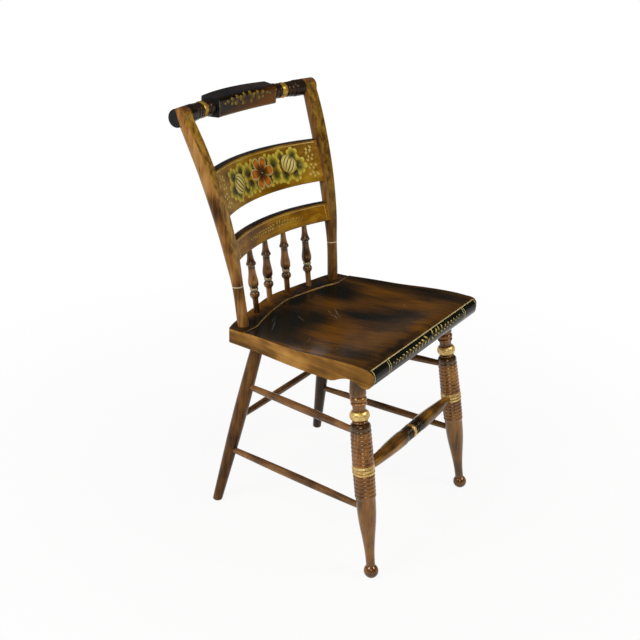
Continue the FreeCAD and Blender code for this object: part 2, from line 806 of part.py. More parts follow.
def ridge_region(in_front):
    """The plan area in front of the ridge, or behind it, as a tall prism."""
    low = seat_height - seat_depth
    points = []
    for width_share, depth_share in seat_ridge_shares:
        points.append((seat_rear_half_width * width_share, seat_front_y + seat_depth * depth_share))
    points += [(-x, y) for x, y in reversed(points)]
    curve = Part.BSplineCurve()
    curve.interpolate([Vec(x, y, low) for x, y in points])
    edge_y = seat_front_y + seat_depth * seat_saddle_front_share if in_front else seat_rear_y + overrun
    right = Vec(points[0][0], edge_y, low)
    left = Vec(points[-1][0], edge_y, low)
    edges = [
        curve.toShape(),
        Part.LineSegment(Vec(points[-1][0], points[-1][1], low), left).toShape(),
        Part.LineSegment(left, right).toShape(),
        Part.LineSegment(right, Vec(points[0][0], points[0][1], low)).toShape(),
    ]
    return Part.Face(Part.Wire(edges)).extrude(Vec(0, 0, 2 * seat_depth))


def above_saddle():
    """The air above the hollowed sitting surface."""
    middle_half = (seat_front_half_width + seat_rear_half_width) / 2
    rows = []
    for depth_share, rise_share, dish_share in seat_surface_shares:
        row = []
        for column_share in seat_dish_column_shares:
            hollow = seat_dish * dish_share * (1 - abs(column_share) ** seat_dish_power)
            row.append(Vec(middle_half * column_share, seat_front_y + seat_depth * depth_share,
                           seat_height + seat_front_rise * rise_share - hollow))
        rows.append(row)
    surface = Part.BSplineSurface()
    surface.interpolate(rows)
    air = surface.toShape().extrude(Vec(0, 0, seat_depth))
    return air.common(ridge_region(True))


def above_deck():
    """The air above the level deck that carries the back."""
    start_y = seat_front_y + seat_depth * seat_deck_front_share
    slope = seat_deck_fall / seat_deck_depth
    front_y = start_y - overrun / 2
    back_y = seat_rear_y + overrun
    high = seat_height + seat_deck_fall / 2
    outline = [
        (front_y, high + slope * (start_y - front_y)),
        (back_y, high - slope * (back_y - start_y)),
        (back_y, seat_height + seat_depth),
        (front_y, seat_height + seat_depth),
    ]
    return prism_x(outline, seat_front_half_width + overrun).common(ridge_region(False))


def seat_sockets():
    """Holes for the legs, posts and spindles on the right-hand side."""
    foot, top = front_leg_foot(), front_leg_top()
    up = (top - foot).normalize()
    tenon_end = foot + up * ((top - foot).Length * (1 + front_leg_tenon_rise / seat_height))
    holes = [rod(tenon_end - up * overrun, tenon_end + up * joint_clearance,
                 front_leg_radius * front_leg_tenon_share + joint_clearance)]
    foot, top = rear_leg_foot(), rear_leg_top()
    up = (top - foot).normalize()
    tenon_end = foot + up * ((top - foot).Length * (1 - rear_leg_socket_stop / seat_height))
    holes.append(rod(tenon_end - up * overrun, tenon_end + up * joint_clearance,
                     rear_leg_radius * rear_leg_tenon_share + joint_clearance))
    base = post_base()
    up = post_direction(seat_height).normalize()
    bottom = post_straight(seat_height - post_socket_depth)
    holes.append(rod(bottom - up * joint_clearance, base + up * overrun,
                     post_radius * post_radius_shares[0][1] + joint_clearance))
    for foot, head in spindle_lines:
        up = (head - foot).normalize()
        holes.append(rod(foot - up * (spindle_socket_depth + joint_clearance), foot + up * overrun,
                         spindle_radius * spindle_foot_share + joint_clearance))
    return holes


def seat():
    plank = seat_section().common(seat_plan())
    plank = plank.cut(above_saddle()).cut(above_deck())
    for hole in seat_sockets():
        plank = plank.cut(hole).cut(mirrored(hole))
    return plank


def seat_boards():
    """The plank split at its glue lines, left to right."""
    plank = seat()
    width = 2 * seat_front_half_width / seat_board_count
    boards = []
    for index in range(seat_board_count):
        corner = Vec(-seat_front_half_width + index * width, seat_front_y - overrun, seat_height - seat_depth)
        stock = Part.makeBox(width, seat_depth + 2 * overrun, 2 * seat_depth, corner)
        boards.append(plank.common(stock))
    return boards


# Export
def save(name, shape):
    solids = shape.Solids
    print(name, "solids", len(solids), "volume", round(shape.Volume), "valid", shape.isValid())
    piece = solids[0] if len(solids) == 1 else Part.makeCompound(solids)
    piece.exportStep("parts/" + name + ".step")


def save_pair(name, shape):
    save(name + "_right", shape)
    save(name + "_left", mirrored(shape))


for number, board in enumerate(seat_boards(), 1):
    save("seat_board_" + str(number), board)
save_pair("front_leg", front_leg())
save_pair("rear_leg", rear_leg())
save_pair("upper_side_stretcher", plain_stretcher("upper", side_stretcher_radius))
save_pair("lower_side_stretcher", plain_stretcher("lower", side_stretcher_radius))
save("rear_stretcher", plain_stretcher("rear", rear_stretcher_radius))
save("front_stretcher", front_stretcher())
save_pair("back_post", post())
save("crest_rail", crest_rail())
save("wide_slat", eased(wide_slat()))
save("lower_slat", lower_slat_piece())
save_pair("outer_spindle", spindle(*spindle_lines[0]))
save_pair("inner_spindle", spindle(*spindle_lines[1]))
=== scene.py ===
# %% [markdown]
# # A stencilled side chair, finished in Blender
# The chair's wood comes in as it was built: turned legs, bent back, plank seat. What is left for
# Blender is the painter's work: stain, black ground, bronze stencils, stripes and lacquer, and then
# the light and the camera. Lengths are in metres, Z is up, and the chair faces -Y.

# %% Load the chair
import math
import random

import bpy
from mathutils import Matrix, Vector


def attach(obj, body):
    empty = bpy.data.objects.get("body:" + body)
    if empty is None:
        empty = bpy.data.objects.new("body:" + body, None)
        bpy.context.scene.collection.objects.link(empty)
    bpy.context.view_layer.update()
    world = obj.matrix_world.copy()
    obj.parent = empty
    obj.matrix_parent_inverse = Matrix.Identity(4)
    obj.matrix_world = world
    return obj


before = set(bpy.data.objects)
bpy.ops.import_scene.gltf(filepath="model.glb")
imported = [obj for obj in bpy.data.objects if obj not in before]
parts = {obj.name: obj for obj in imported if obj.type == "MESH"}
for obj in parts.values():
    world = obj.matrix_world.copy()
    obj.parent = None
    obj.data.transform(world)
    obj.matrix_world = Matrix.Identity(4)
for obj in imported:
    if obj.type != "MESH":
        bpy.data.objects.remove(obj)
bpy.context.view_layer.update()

MM = 0.001
print("wooden parts:", len(parts))

# %% [markdown]
# ## Small tools
# Paint charts give colours as sRGB hex. A shader wants linear light, so one function does the
# conversion. Another adds a node, sets it and links it, and every material and geometry tree below
# is written with it. Two more put an object or a mesh in the scene.

# %% Helpers for colours, nodes and objects


def hex_colour(code):
    """An sRGB hex colour as linear red, green, blue and a full alpha."""
    values = []
    for start in (0, 2, 4):
        share = int(code[start:start + 2], 16) / 255
        values.append(share / 12.92 if share <= 0.04045 else ((share + 0.055) / 1.055) ** 2.4)
    return (*values, 1.0)


def add(tree, kind, *values, stops=(), interpolation="LINEAR", **named):
    """A new node, set and linked.

    The values fill its inputs in order: numbers, hex colours, other nodes or their outputs. A name
    in small letters is a setting, and a name with a capital is an input, with _ for a space. A
    colour ramp takes stops, as (place, grey or hex).
    """
    node = tree.nodes.new(kind)
    for name in filter(str.islower, named):
        setattr(node, name, named[name])
    if stops:
        node.color_ramp.interpolation = interpolation
        for extra in stops[2:]:
            node.color_ramp.elements.new(0.5)
        for element, (spot, shade) in zip(node.color_ramp.elements, stops):
            element.position = spot
            element.color = hex_colour(shade) if isinstance(shade, str) else (shade, shade, shade, 1)
    wanted = list(zip((socket for socket in node.inputs if socket.enabled), values))
    wanted += [(node.inputs[name.replace("_", " ")], named[name]) for name in named if not name.islower()]
    for socket, value in wanted:
        if isinstance(value, bpy.types.Node):
            value = next(output for output in value.outputs if output.enabled)
        if isinstance(value, bpy.types.NodeSocket):
            tree.links.new(value, socket)
        elif socket.type == "RGBA":
            socket.default_value = hex_colour(value)
        else:
            socket.default_value = value
    return node


def new_object(name, data):
    """An object that holds the data, in the scene."""
    item = bpy.data.objects.new(name, data)
    bpy.context.scene.collection.objects.link(item)
    return item


def new_mesh(name, points, edges, faces):
    """A mesh object from plain lists, in the scene."""
    mesh = bpy.data.meshes.new(name)
    mesh.from_pydata(points, edges, faces)
    return new_object(name, mesh)


print("walnut brown in linear light:", [round(value, 3) for value in hex_colour("6B4A2B")[:3]])

# %% [markdown]
# ## The camera
# It stands to the chair's front left, a little above the crest, as the photographer did. The small
# sideways shift keeps the chair left of the middle without turning the camera off it.

# %% Camera
CAMERA_PLACE = Vector((-1.3902, -0.9006, 1.1985))
CAMERA_AZIMUTH = -51.584
CAMERA_RISE = 25.593
CAMERA_ROLL = 0.586


def direction(azimuth, rise):
    """The way from the chair to an azimuth, counted from its front, and a rise, in degrees."""
    a, e = math.radians(azimuth), math.radians(rise)
    return Vector((math.sin(a) * math.cos(e), -math.cos(a) * math.cos(e), math.sin(e)))


back = direction(CAMERA_AZIMUTH, CAMERA_RISE)
right = Vector((0, 0, 1)).cross(back).normalized()
axes = Matrix((right, back.cross(right), back)).transposed()
rolled = axes @ Matrix.Rotation(math.radians(CAMERA_ROLL), 3, "Z")
camera_data = bpy.data.cameras.new("camera")
camera_data.sensor_width = 36
camera_data.lens = 49.09
camera_data.shift_x = 0.1058
camera_data.shift_y = 0.0014
camera = new_object("camera", camera_data)
camera.matrix_world = Matrix.Translation(CAMERA_PLACE) @ rolled.to_4x4()
bpy.context.scene.camera = camera
print("lens", round(camera_data.lens, 2), "mm")

# %% [markdown]
# ## The floor
# The floor is matt white paint. Lit plainly it would come out grey, so to the camera, and to
# anything shiny or clear, it shows mostly its own white light. Near the chair a little of the plain
# paint is left in the mix, and that keeps the soft shadow.

# %% Floor
FLOOR_HALF = 30.0
SHADOW_NEAR = 0.3
SHADOW_FAR = 1.3


def new_material(name):
    """A material without a shader, its tree, and each point's place on the object."""
    material = bpy.data.materials.new(name)
    material.use_nodes = True
    tree = material.node_tree
    tree.nodes.clear()
    return material, tree, add(tree, "ShaderNodeTexCoord").outputs["Object"]


def seen_directly(tree):
    """One where a ray comes straight from the camera, from something shiny or through glass."""
    path = add(tree, "ShaderNodeLightPath").outputs
    shiny = add(tree, "ShaderNodeMath", path["Is Glossy Ray"], path["Is Transmission Ray"],
                operation="MAXIMUM")
    return add(tree, "ShaderNodeMath", path["Is Camera Ray"], shiny, operation="MAXIMUM")


def stage_object(name, points, faces, material):
    """Something that stands in the studio and isn't part of the chair."""
    item = new_mesh(name, points, [], faces)
    item.data.materials.append(material)


floor_paint, tree, place = new_material("matt_white_floor_paint")
plain = add(tree, "ShaderNodeBsdfDiffuse", "D8D7D5")
white = add(tree, "ShaderNodeEmission", "FFFFFF", 1.0)
away = add(tree, "ShaderNodeVectorMath", place, operation="LENGTH")
whiter = add(tree, "ShaderNodeMapRange", away, SHADOW_NEAR, SHADOW_FAR, 0.92, 1.0)
share = add(tree, "ShaderNodeMath", seen_directly(tree), whiter, operation="MULTIPLY")
add(tree, "ShaderNodeOutputMaterial", add(tree, "ShaderNodeMixShader", share, plain, white))
corners = [(x * FLOOR_HALF, y * FLOOR_HALF, 0) for x, y in ((-1, -1), (1, -1), (1, 1), (-1, 1))]
stage_object("floor", corners, [(0, 1, 2, 3)], floor_paint)
print("floor", 2 * FLOOR_HALF, "m wide")

# %% [markdown]
# ## The room
# The world gives a little light from all sides, and white where it is looked at. Lacquer mirrors
# what hangs over it, and a black seat that mirrors a white room looks milky, so the room has a dark
# ceiling. It comes down to just above the floor's far edge, and fades to white there.

# %% World
world = bpy.data.worlds.new("studio")
bpy.context.scene.world = world
world.use_nodes = True
tree = world.node_tree
tree.nodes.clear()
room = add(tree, "ShaderNodeBackground", "FFFFFF", 0.26)
backdrop = add(tree, "ShaderNodeBackground", "FFFFFF", 1.0)
add(tree, "ShaderNodeOutputWorld", add(tree, "ShaderNodeMixShader", seen_directly(tree), room, backdrop))
print("world ready")

# %% Ceiling
CEILING_RADIUS = 25.0
CEILING_EDGE = 5
CEILING_DARK = 8.5
CEILING_RINGS = 10
CEILING_SIDES = 36

points = []
faces = []
for ring in range(CEILING_RINGS):
    rise = CEILING_EDGE + (90 - CEILING_EDGE) * ring / CEILING_RINGS
    for side in range(CEILING_SIDES):
        points.append(CEILING_RADIUS * direction(360 * side / CEILING_SIDES, rise))
        here, after = (ring * CEILING_SIDES + number % CEILING_SIDES for number in (side, side + 1))
        top = (after + CEILING_SIDES, here + CEILING_SIDES)
        faces.append((here, after, *(top if ring < CEILING_RINGS - 1 else (CEILING_RINGS * CEILING_SIDES,))))
points.append((0, 0, CEILING_RADIUS))
ceiling_paint, tree, place = new_material("dark_blue_grey_ceiling_paint")
low, high = (CEILING_RADIUS * math.sin(math.radians(angle)) for angle in (CEILING_EDGE, CEILING_DARK))
height = add(tree, "ShaderNodeSeparateXYZ", place).outputs["Z"]
darker = add(tree, "ShaderNodeMapRange", height, low, high, interpolation_type="SMOOTHSTEP")
faded = add(tree, "ShaderNodeMix", darker, "FFFFFF", "41464C", data_type="RGBA")
add(tree, "ShaderNodeOutputMaterial", add(tree, "ShaderNodeEmission", faded, 1.0))
stage_object("ceiling", points, faces, ceiling_paint)
print("the ceiling is dark from", round(high, 1), "m up")

# %% [markdown]
# ## The lamps
# Two soft lamps stand high to the left and the right of the camera, and give each turning its two
# small highlights. A broad one behind the camera fills the rest, and a large cool window stands at
# the chair's left.

# %% Lamps
LAMP_AIM = Vector((0, 0, 0.42))
LAMPS = (
    ("left_lamp", -106, 44, 2.4, 1.0, 36, "FFFAF4"),
    ("right_lamp", 20, 44, 2.4, 1.0, 27, "FFFAF4"),
    ("camera_lamp", -58, 34, 3.2, 1.4, 22, "FFFFFF"),
    ("window", -128, 25, 3.0, 1.8, 9, "D2E2FF"),
)
for name, azimuth, rise, distance, size, watts, tint in LAMPS:
    lamp_data = bpy.data.lights.new(name, "AREA")
    lamp_data.shape = "DISK"
    lamp_data.size = size
    lamp_data.energy = watts
    lamp_data.color = hex_colour(tint)[:3]
    away = direction(azimuth, rise)
    turned = away.to_track_quat("Z", "Y").to_matrix().to_4x4()
    new_object(name, lamp_data).matrix_world = Matrix.Translation(LAMP_AIM + away * distance) @ turned
bpy.context.scene.view_settings.view_transform = "Standard"
print("lamps:", len(LAMPS))

# %% [markdown]
# ## Stained maple
# The chair is maple under a walnut glaze that was wiped off by hand, so it is warmer and lighter
# where the rag went, and the glaze lies in long streaks along the grain. Clear lacquer over it gives
# a smooth, tight highlight. Noise stretched along the grain draws the streaks. Ambient Occlusion
# finds the grooves and darkens them: partly glaze that gathers there, partly painted shade.

# %% Pattern tools


def blotches(tree, place, per_metre, detail=4.0, roughness=0.55):
    """Soft blotches, so many per metre along X, Y and Z. Few along one axis makes streaks."""
    scaled = add(tree, "ShaderNodeVectorMath", place, per_metre, operation="MULTIPLY")
    return add(tree, "ShaderNodeTexNoise", scaled, Scale=1.0, Detail=detail, Roughness=roughness)


def along_grain(axis, across, along):
    """Blotches per metre: few along the grain's axis and many across it."""
    return tuple(along if index == axis else across for index in range(3))


def weigh(tree, start, *terms):
    """Start plus each pattern times its weight."""
    for pattern, weight in terms:
        start = add(tree, "ShaderNodeMath", pattern, weight, start, operation="MULTIPLY_ADD")
    return start


def fade(tree, value, start, end, first, second):
    """The first colour where the value is below start, the second where it is above end."""
    share = add(tree, "ShaderNodeValToRGB", value, stops=((start, 0), (end, 1)))
    return add(tree, "ShaderNodeMix", share, first, second, data_type="RGBA")


def painted(tree, mask, strength, ground, paint):
    """Paint over a ground where the mask is one, as strongly as said."""
    share = add(tree, "ShaderNodeMath", mask, strength, operation="MULTIPLY")
    return add(tree, "ShaderNodeMix", share, ground, paint, data_type="RGBA")


def grooves(tree, reach, deep, shallow):
    """One in grooves about as narrow as the reach, and nought on open wood."""
    # This mask darkens the grooves: partly glaze that gathers there, partly painted shade.
    light = add(tree, "ShaderNodeAmbientOcclusion", Distance=reach, samples=8, only_local=True).outputs["AO"]
    return add(tree, "ShaderNodeValToRGB", light, stops=((deep, 1), (shallow, 0)))


def facing(tree, way, start, full):
    """One on faces that look a given way, falling to nought as they turn from it."""
    normal = add(tree, "ShaderNodeTexCoord").outputs["Normal"]
    turned = add(tree, "ShaderNodeVectorMath", normal, way, operation="DOT_PRODUCT")
    return add(tree, "ShaderNodeValToRGB", turned, stops=((start, 0), (full, 1)))


FRONT = (0, -1, 0)
UP = (0, 0, 1)
print("pattern tools ready")

# %% [markdown]
# ### Glaze and lacquer
# The glaze is three patterns at three sizes, added up: fine streaks along the grain, broader ones
# where the rag was drawn, and patches as wide as a hand's pressure. The sum picks a colour between
# dark, middle and light. The lacquer is amber, so it tints its reflections a little.

# %% Glaze and lacquer
GRAIN_ACROSS, GRAIN_ALONG = 260, 14
WIPE_ACROSS, WIPE_ALONG = 55, 7
PATCHES = 16
GRAIN_DEPTH = 0.02 * MM


def wiped_glaze(tree, place, axis, dark, middle, light, groove=2.5 * MM, streaky=0.34):
    """Stained maple's colour, and the streaks that its grain makes."""
    streaks = blotches(tree, place, along_grain(axis, GRAIN_ACROSS, GRAIN_ALONG))
    wiped = blotches(tree, place, along_grain(axis, WIPE_ACROSS, WIPE_ALONG), 2.0)
    patches = blotches(tree, place, (PATCHES, PATCHES, PATCHES), 2.0)
    tone = weigh(tree, 0.05 - streaky / 2, (streaks, streaky), (wiped, 0.50), (patches, 0.60))
    colour = fade(tree, tone, 0.58, 0.78, fade(tree, tone, 0.42, 0.60, dark, middle), light)
    # Dark in the grooves: partly gathered glaze, partly painted shade.
    return painted(tree, grooves(tree, groove, 0.35, 0.92), 0.85, colour, "150C07"), streaks


def lacquered(tree, colour, roughness, streaks, metallic=0.0, specular=0.45):
    """Amber lacquer over a painted ground, with a slight texture from the grain."""
    bump = add(tree, "ShaderNodeBump", Height=streaks, Distance=GRAIN_DEPTH, Strength=1.0)
    shader = add(tree, "ShaderNodeBsdfPrincipled", Base_Color=colour, Roughness=roughness, Metallic=metallic,
                 Normal=bump, IOR=1.5, Specular_IOR_Level=specular, Specular_Tint="FFE2BE")
    add(tree, "ShaderNodeOutputMaterial", shader)


print("streaks", round(1000 / GRAIN_ACROSS, 1), "mm apart,", round(1000 / GRAIN_ALONG), "mm long")

# %% [markdown]
# ### Painted rings
# The gold rings on the turnings are bronze powder in varnish, laid with a brush while the piece
# spun in the lathe. The beads are already cut in the wood, so the paint is only a matter of how far
# along the turning a point is. A ramp with hard steps says where gold starts and stops, and a little
# noise lets the brush waver. One material serves a left and a right piece, because the distance is
# measured on the right-hand side of the chair for both.

# %% Ring tools
WAVER = 0.5 * MM


def distance_along(tree, start, end, place):
    """How far along the line from start to end a point lies, as a share."""
    x, y, z = add(tree, "ShaderNodeSeparateXYZ", place).outputs
    folded = add(tree, "ShaderNodeCombineXYZ", add(tree, "ShaderNodeMath", x, operation="ABSOLUTE"), y, z)
    line = Vector(end) - Vector(start)
    from_start = add(tree, "ShaderNodeVectorMath", folded, start, operation="SUBTRACT")
    share = add(tree, "ShaderNodeVectorMath", from_start, line / line.length_squared, operation="DOT_PRODUCT")
    waver = WAVER / line.length
    return weigh(tree, -waver / 2, (blotches(tree, place, (90, 90, 90), 1.0), waver), (share, 1.0))


def rings(tree, along, bands):
    """One inside any of the bands, given as (start, end) shares."""
    stops = [] if bands[0][0] == 0 else [(0.0, 0)]
    for start, end in bands:
        stops += [(start, 1), (end, 0)]
    return add(tree, "ShaderNodeValToRGB", along, stops=stops, interpolation="CONSTANT")


def gold_over(tree, place, ground, roughness, mask, dark="C09A4E", light="E8CC8A"):
    """Bronze paint where the mask is one: its colour, roughness and metal share."""
    bronze = fade(tree, blotches(tree, place, (110, 110, 110), 2.0), 0.35, 0.65, dark, light)
    # The bronze turns brown in the grooves between the rings: partly gathered glaze, partly painted shade.
    bronze = painted(tree, grooves(tree, 1.5 * MM, 0.45, 0.85), 1.0, bronze, "6B4A1A")
    specks = blotches(tree, place, (420, 420, 420), 3.0)
    worn = add(tree, "ShaderNodeValToRGB", specks, stops=((0.30, 0), (0.42, 1)))
    share = add(tree, "ShaderNodeMath", mask, weigh(tree, 0.9, (worn, 0.1)), operation="MULTIPLY")
    colour = painted(tree, share, 1.0, ground, bronze)
    return colour, weigh(tree, roughness, (share, 0.36 - roughness)), weigh(tree, 0.0, (share, 0.6))


print("the brush wavers by", WAVER / MM, "mm")

# %% [markdown]
# ### The legs, stretchers and spindles
# All of them are turned from straight maple, so their grain runs along them. The front legs carry a
# gold ball and three gold reeds, and painted shade darkens them at the foot, the collars and the
# neck. The rear legs stand in the shade of the seat, and that shade is painted in as darker tones,
# the right one most. The front stretcher has a band of painted shade round its one gold ring, and
# the spindles have painted shade at their beads and painted highlights as pale rings.

# %% Finish for turned parts


def stained(name, axis, tones=("2E1C10", "6C4A2A", "95693C"), roughness=0.17, specular=0.45,
            line=None, gold=(), highlight_rings=(), black=()):
    """A turned part's finish. Its bands of gold, painted highlight and painted shade are shares along a line.
    """
    material, tree, place = new_material(name)
    colour, streaks = wiped_glaze(tree, place, axis, *tones)
    metallic = 0.0
    if line:
        along = distance_along(tree, *line, place)
        # Dark bands of painted shade at beads, collars and notches.
        shade = add(tree, "ShaderNodeValToRGB", along, stops=black, interpolation="EASE")
        colour = painted(tree, shade, 1.0, colour, "17130F")
    if gold:
        colour, roughness, metallic = gold_over(tree, place, colour, roughness, rings(tree, along, gold))
    if highlight_rings:
        # Pale rings of painted highlight, where the spindles' beads face up.
        colour = painted(tree, rings(tree, along, highlight_rings), 0.55, colour, "C9B58A")
    lacquered(tree, colour, roughness, streaks, metallic, specular)
    return material


def finish(material, *names):
    """Wooden parts get their finish through their objects' own material slots."""
    for name in names:
        for slot in parts[name].material_slots:
            slot.link = "OBJECT"
            slot.material = material
    print(material.name, "on", *names)


def both(name):
    return name + "_left", name + "_right"


print("turned parts:", sum("leg" in name or "stretcher" in name or "spindle" in name for name in parts))

# %% Legs
FRONT_LEG = ((0.1920, -0.2576, 0.0), (0.1673, -0.1752, 0.430))
# Front legs: the dark bands are painted shade at the foot, the collars and the neck.
front_leg_finish = stained(
    "walnut_stained_maple_front_legs", 2, ("30190A", "80501F", "AC7636"), 0.12, 0.7, FRONT_LEG,
    gold=((0.5133, 0.5256), (0.5284, 0.5402), (0.5430, 0.5549), (0.7665, 0.8050)),
    black=((0.02, 0.5), (0.045, 0.25), (0.40, 0.25), (0.46, 0), (0.705, 0), (0.724, 0.75), (0.755, 0.8),
           (0.76, 0), (0.805, 0), (0.812, 0.6), (0.835, 0.2), (0.84, 0.1), (0.87, 0.15), (0.93, 0.6)))
finish(front_leg_finish, *both("front_leg"))
# The rear legs' darker tones are painted shade from the seat, the right leg's most.
left_rear_shaded_finish = stained("walnut_maple_left_rear_leg_painted_shade", 2, ("2A190C", "5C3A1A", "7C5428"),
                           specular=0.22)
finish(left_rear_shaded_finish, "rear_leg_left")
right_rear_shaded_finish = stained("walnut_maple_right_rear_leg_painted_shade", 2, ("120D09", "2A1C10", "402B18"),
                            specular=0.22)
finish(right_rear_shaded_finish, "rear_leg_right")

# %% Stretchers and spindles
HALF_RUNG = ((0, 0, 0), (0.179, 0, 0))
SPINDLE = ((0, 0, 0.430), (0, 0, 0.566))
side_rung_finish = stained("walnut_stained_maple_side_rungs", 1)
finish(side_rung_finish, *both("upper_side_stretcher"), *both("lower_side_stretcher"))
finish(stained("walnut_stained_maple_rear_rung", 0), "rear_stretcher")
# The dark band round the front stretcher's gold ring is painted shade for its deep notches.
front_rung_finish = stained(
    "walnut_stained_maple_front_rung", 0, ("2E1C0D", "76501F", "BE8830"), specular=0.4, line=HALF_RUNG,
    gold=((0, 0.0251),), black=((0.0, 0.95), (0.15, 0.9), (0.30, 0.3), (0.40, 0)))
finish(front_rung_finish, "front_stretcher")
# Spindles: the dark bands are painted shade at the beads, and the pale rings are painted highlights.
spindle_finish = stained(
    "walnut_stained_maple_spindles", 2, ("241409", "5E3818", "986A34"), 0.12, 0.6, SPINDLE,
    highlight_rings=((0.350, 0.392), (0.740, 0.762)),
    black=((0.28, 0), (0.34, 0.6), (0.43, 0.6), (0.50, 0), (0.67, 0), (0.72, 0.6), (0.80, 0.6), (0.87, 0)))
finish(spindle_finish, *both("outer_spindle"), *both("inner_spindle"))

# %% [markdown]
# ### The back posts
# They were shaved flat in front after bending, and the flats were glazed with bronze powder in brown
# varnish, so they look like old gilding. The direction that a face looks in tells the flat front
# from the round side. A pale ring marks where the plain round foot ends and the gilding begins. The
# right post stands in less light, and that shade is painted in as a darker colour.

# %% Back posts
POST_LEAN = 0.11
RING_LEVEL = 0.515 + POST_LEAN * 0.107
RING_HALF = 1.1 * MM

post_finish, tree, place = new_material("gilt_glazed_maple_posts")
x, y, z = add(tree, "ShaderNodeSeparateXYZ", place).outputs
colour, streaks = wiped_glaze(tree, place, 2, "3C2410", "86592A", "AA7F46", streaky=0.5)
over_ring = weigh(tree, -RING_LEVEL, (z, 1.0), (y, POST_LEAN))
above = add(tree, "ShaderNodeValToRGB", weigh(tree, 0.0, (over_ring, 10.0)), stops=((0.05, 0), (0.75, 1)))
flat_front = add(tree, "ShaderNodeMath", facing(tree, FRONT, 0.72, 0.86), above, operation="MULTIPLY")
gilt = fade(tree, blotches(tree, place, (95, 95, 40), 4.0, 0.62), 0.38, 0.62, "5E3C08", "B48A30")
colour = painted(tree, flat_front, 0.85, colour, gilt)
# Painted shade: the right post, at X above nought, is darkened.
colour = painted(tree, add(tree, "ShaderNodeMath", x, 0.0, operation="GREATER_THAN"), 0.42, colour, "2A1A0A")
from_ring = add(tree, "ShaderNodeMath", over_ring, operation="ABSOLUTE")
ring = add(tree, "ShaderNodeMath", from_ring, RING_HALF, operation="LESS_THAN")
colour = painted(tree, ring, 0.8, colour, "D8CBAA")
lacquered(tree, colour, 0.24, streaks, specular=0.16)
finish(post_finish, *both("back_post"))

# %% [markdown]
# ### The slats
# Both are glazed a golden brown in front, and left dark on their edges and back, where nobody
# rubbed them. The same glaze serves again in yellower tones, and the way a face looks tells the
# front from the rest.

# %% Slats


def slat_finish(name, *tones):
    material, tree, place = new_material(name)
    colour, streaks = wiped_glaze(tree, place, 0, *tones, 0.4 * MM)
    edge = fade(tree, blotches(tree, place, (14, 60, 60), 3.0), 0.45, 0.7, "22160A", "4C3014")
    colour = painted(tree, facing(tree, FRONT, 0.45, 0.6), 1.0, edge, colour)
    lacquered(tree, colour, 0.26, streaks, specular=0.12)
    return material


finish(slat_finish("golden_glazed_maple_wide_slat", "4E3304", "7E580A", "A27C1C"), "wide_slat")
finish(slat_finish("golden_glazed_maple_lower_slat", "5A3A04", "835607", "A87E1C"), "lower_slat")

# %% [markdown]
# ### The crest
# The crest rail is nearly black. Its pillow block turns warm brown towards the lower right, a broad
# gold ring sits on each turned end, and its end faces carry a painted reflection, a cool blue-grey
# black. The ends are swept back, so a sum of X and Y says how far along them a point lies. A sum of
# X and Z slopes across the block, and says how brown it is.

# %% Crest rail
BLOCK_END = 0.04797
END_LENGTH = 0.1
END_SWEEP = Vector((0.9818, -0.19))
GOLD_RING = (0.276, 0.412)

crest_finish, tree, place = new_material("black_glazed_maple_crest")
x, y, z = add(tree, "ShaderNodeSeparateXYZ", place).outputs
from_middle = add(tree, "ShaderNodeMath", x, operation="ABSOLUTE")
sweep = END_SWEEP / END_LENGTH
along = weigh(tree, -BLOCK_END / END_LENGTH, (from_middle, sweep.x), (y, sweep.y))
black, streaks = wiped_glaze(tree, place, 0, "15100C", "241A13", "3A2A1C", 3 * MM)
# The block's front turns a warmer, lighter brown towards its lower right.
toward_lower_right = weigh(tree, 13.47, (x, 4.2), (z, -16.0), (blotches(tree, place, (30, 90, 90), 3.0), 0.5))
brown = fade(tree, toward_lower_right, 0.15, 0.75, "140C06", "683C06")
on_block = add(tree, "ShaderNodeMath", along, -0.001, operation="LESS_THAN")
block_front = add(tree, "ShaderNodeMath", on_block, facing(tree, FRONT, 0.5, 0.8), operation="MULTIPLY")
colour = painted(tree, block_front, 1.0, black, brown)
# Painted reflection: the end faces, looking left and right, take a cool blue-grey.
for way in ((1, 0, 0), (-1, 0, 0)):
    colour = painted(tree, facing(tree, way, 0.75, 0.9), 1.0, colour, "181E22")
gold_ring = rings(tree, along, (GOLD_RING,))
colour, roughness, metallic = gold_over(tree, place, colour, 0.2, gold_ring, "94701F", "C8A24C")
lacquered(tree, colour, roughness, streaks, metallic, 0.16)
finish(crest_finish, "crest_rail")

# %% [markdown]
# ### The seat
# The plank seat is glazed in two colours: nearly black where the brush was dabbed, orange brown
# where it was wiped, always in streaks from back to front. The edges are a plain lighter brown, and
# the rolled front is black. Soft ovals, pushed about by streaky noise, stand for the painter's dabs,
# and very thin ones for the scuffs of use. The last two light ovals, on the deck behind the ridge,
# paint a reflection there as lighter brown.

# %% Dabs and scuffs
DARK_DABS = (
    (-0.098, 0.05, 0.1, 0.066, 1.0), (-0.04, 0.014, 0.05, 0.04, 0.8), (0.11, 0.052, 0.048, 0.056, 0.8),
    (0.02, 0.094, 0.09, 0.022, 0.7), (0.036, -0.096, 0.036, 0.08, 0.5), (0.066, -0.14, 0.026, 0.05, 0.45),
    (0.178, -0.15, 0.03, 0.08, 0.5), (-0.16, -0.165, 0.02, 0.046, 0.5), (-0.158, -0.01, 0.036, 0.06, 0.6),
    (-0.11, -0.216, 0.11, 0.01, 0.5), (-0.02, -0.15, 0.02, 0.06, 0.35), (0.19, 0.01, 0.018, 0.09, 0.45),
)
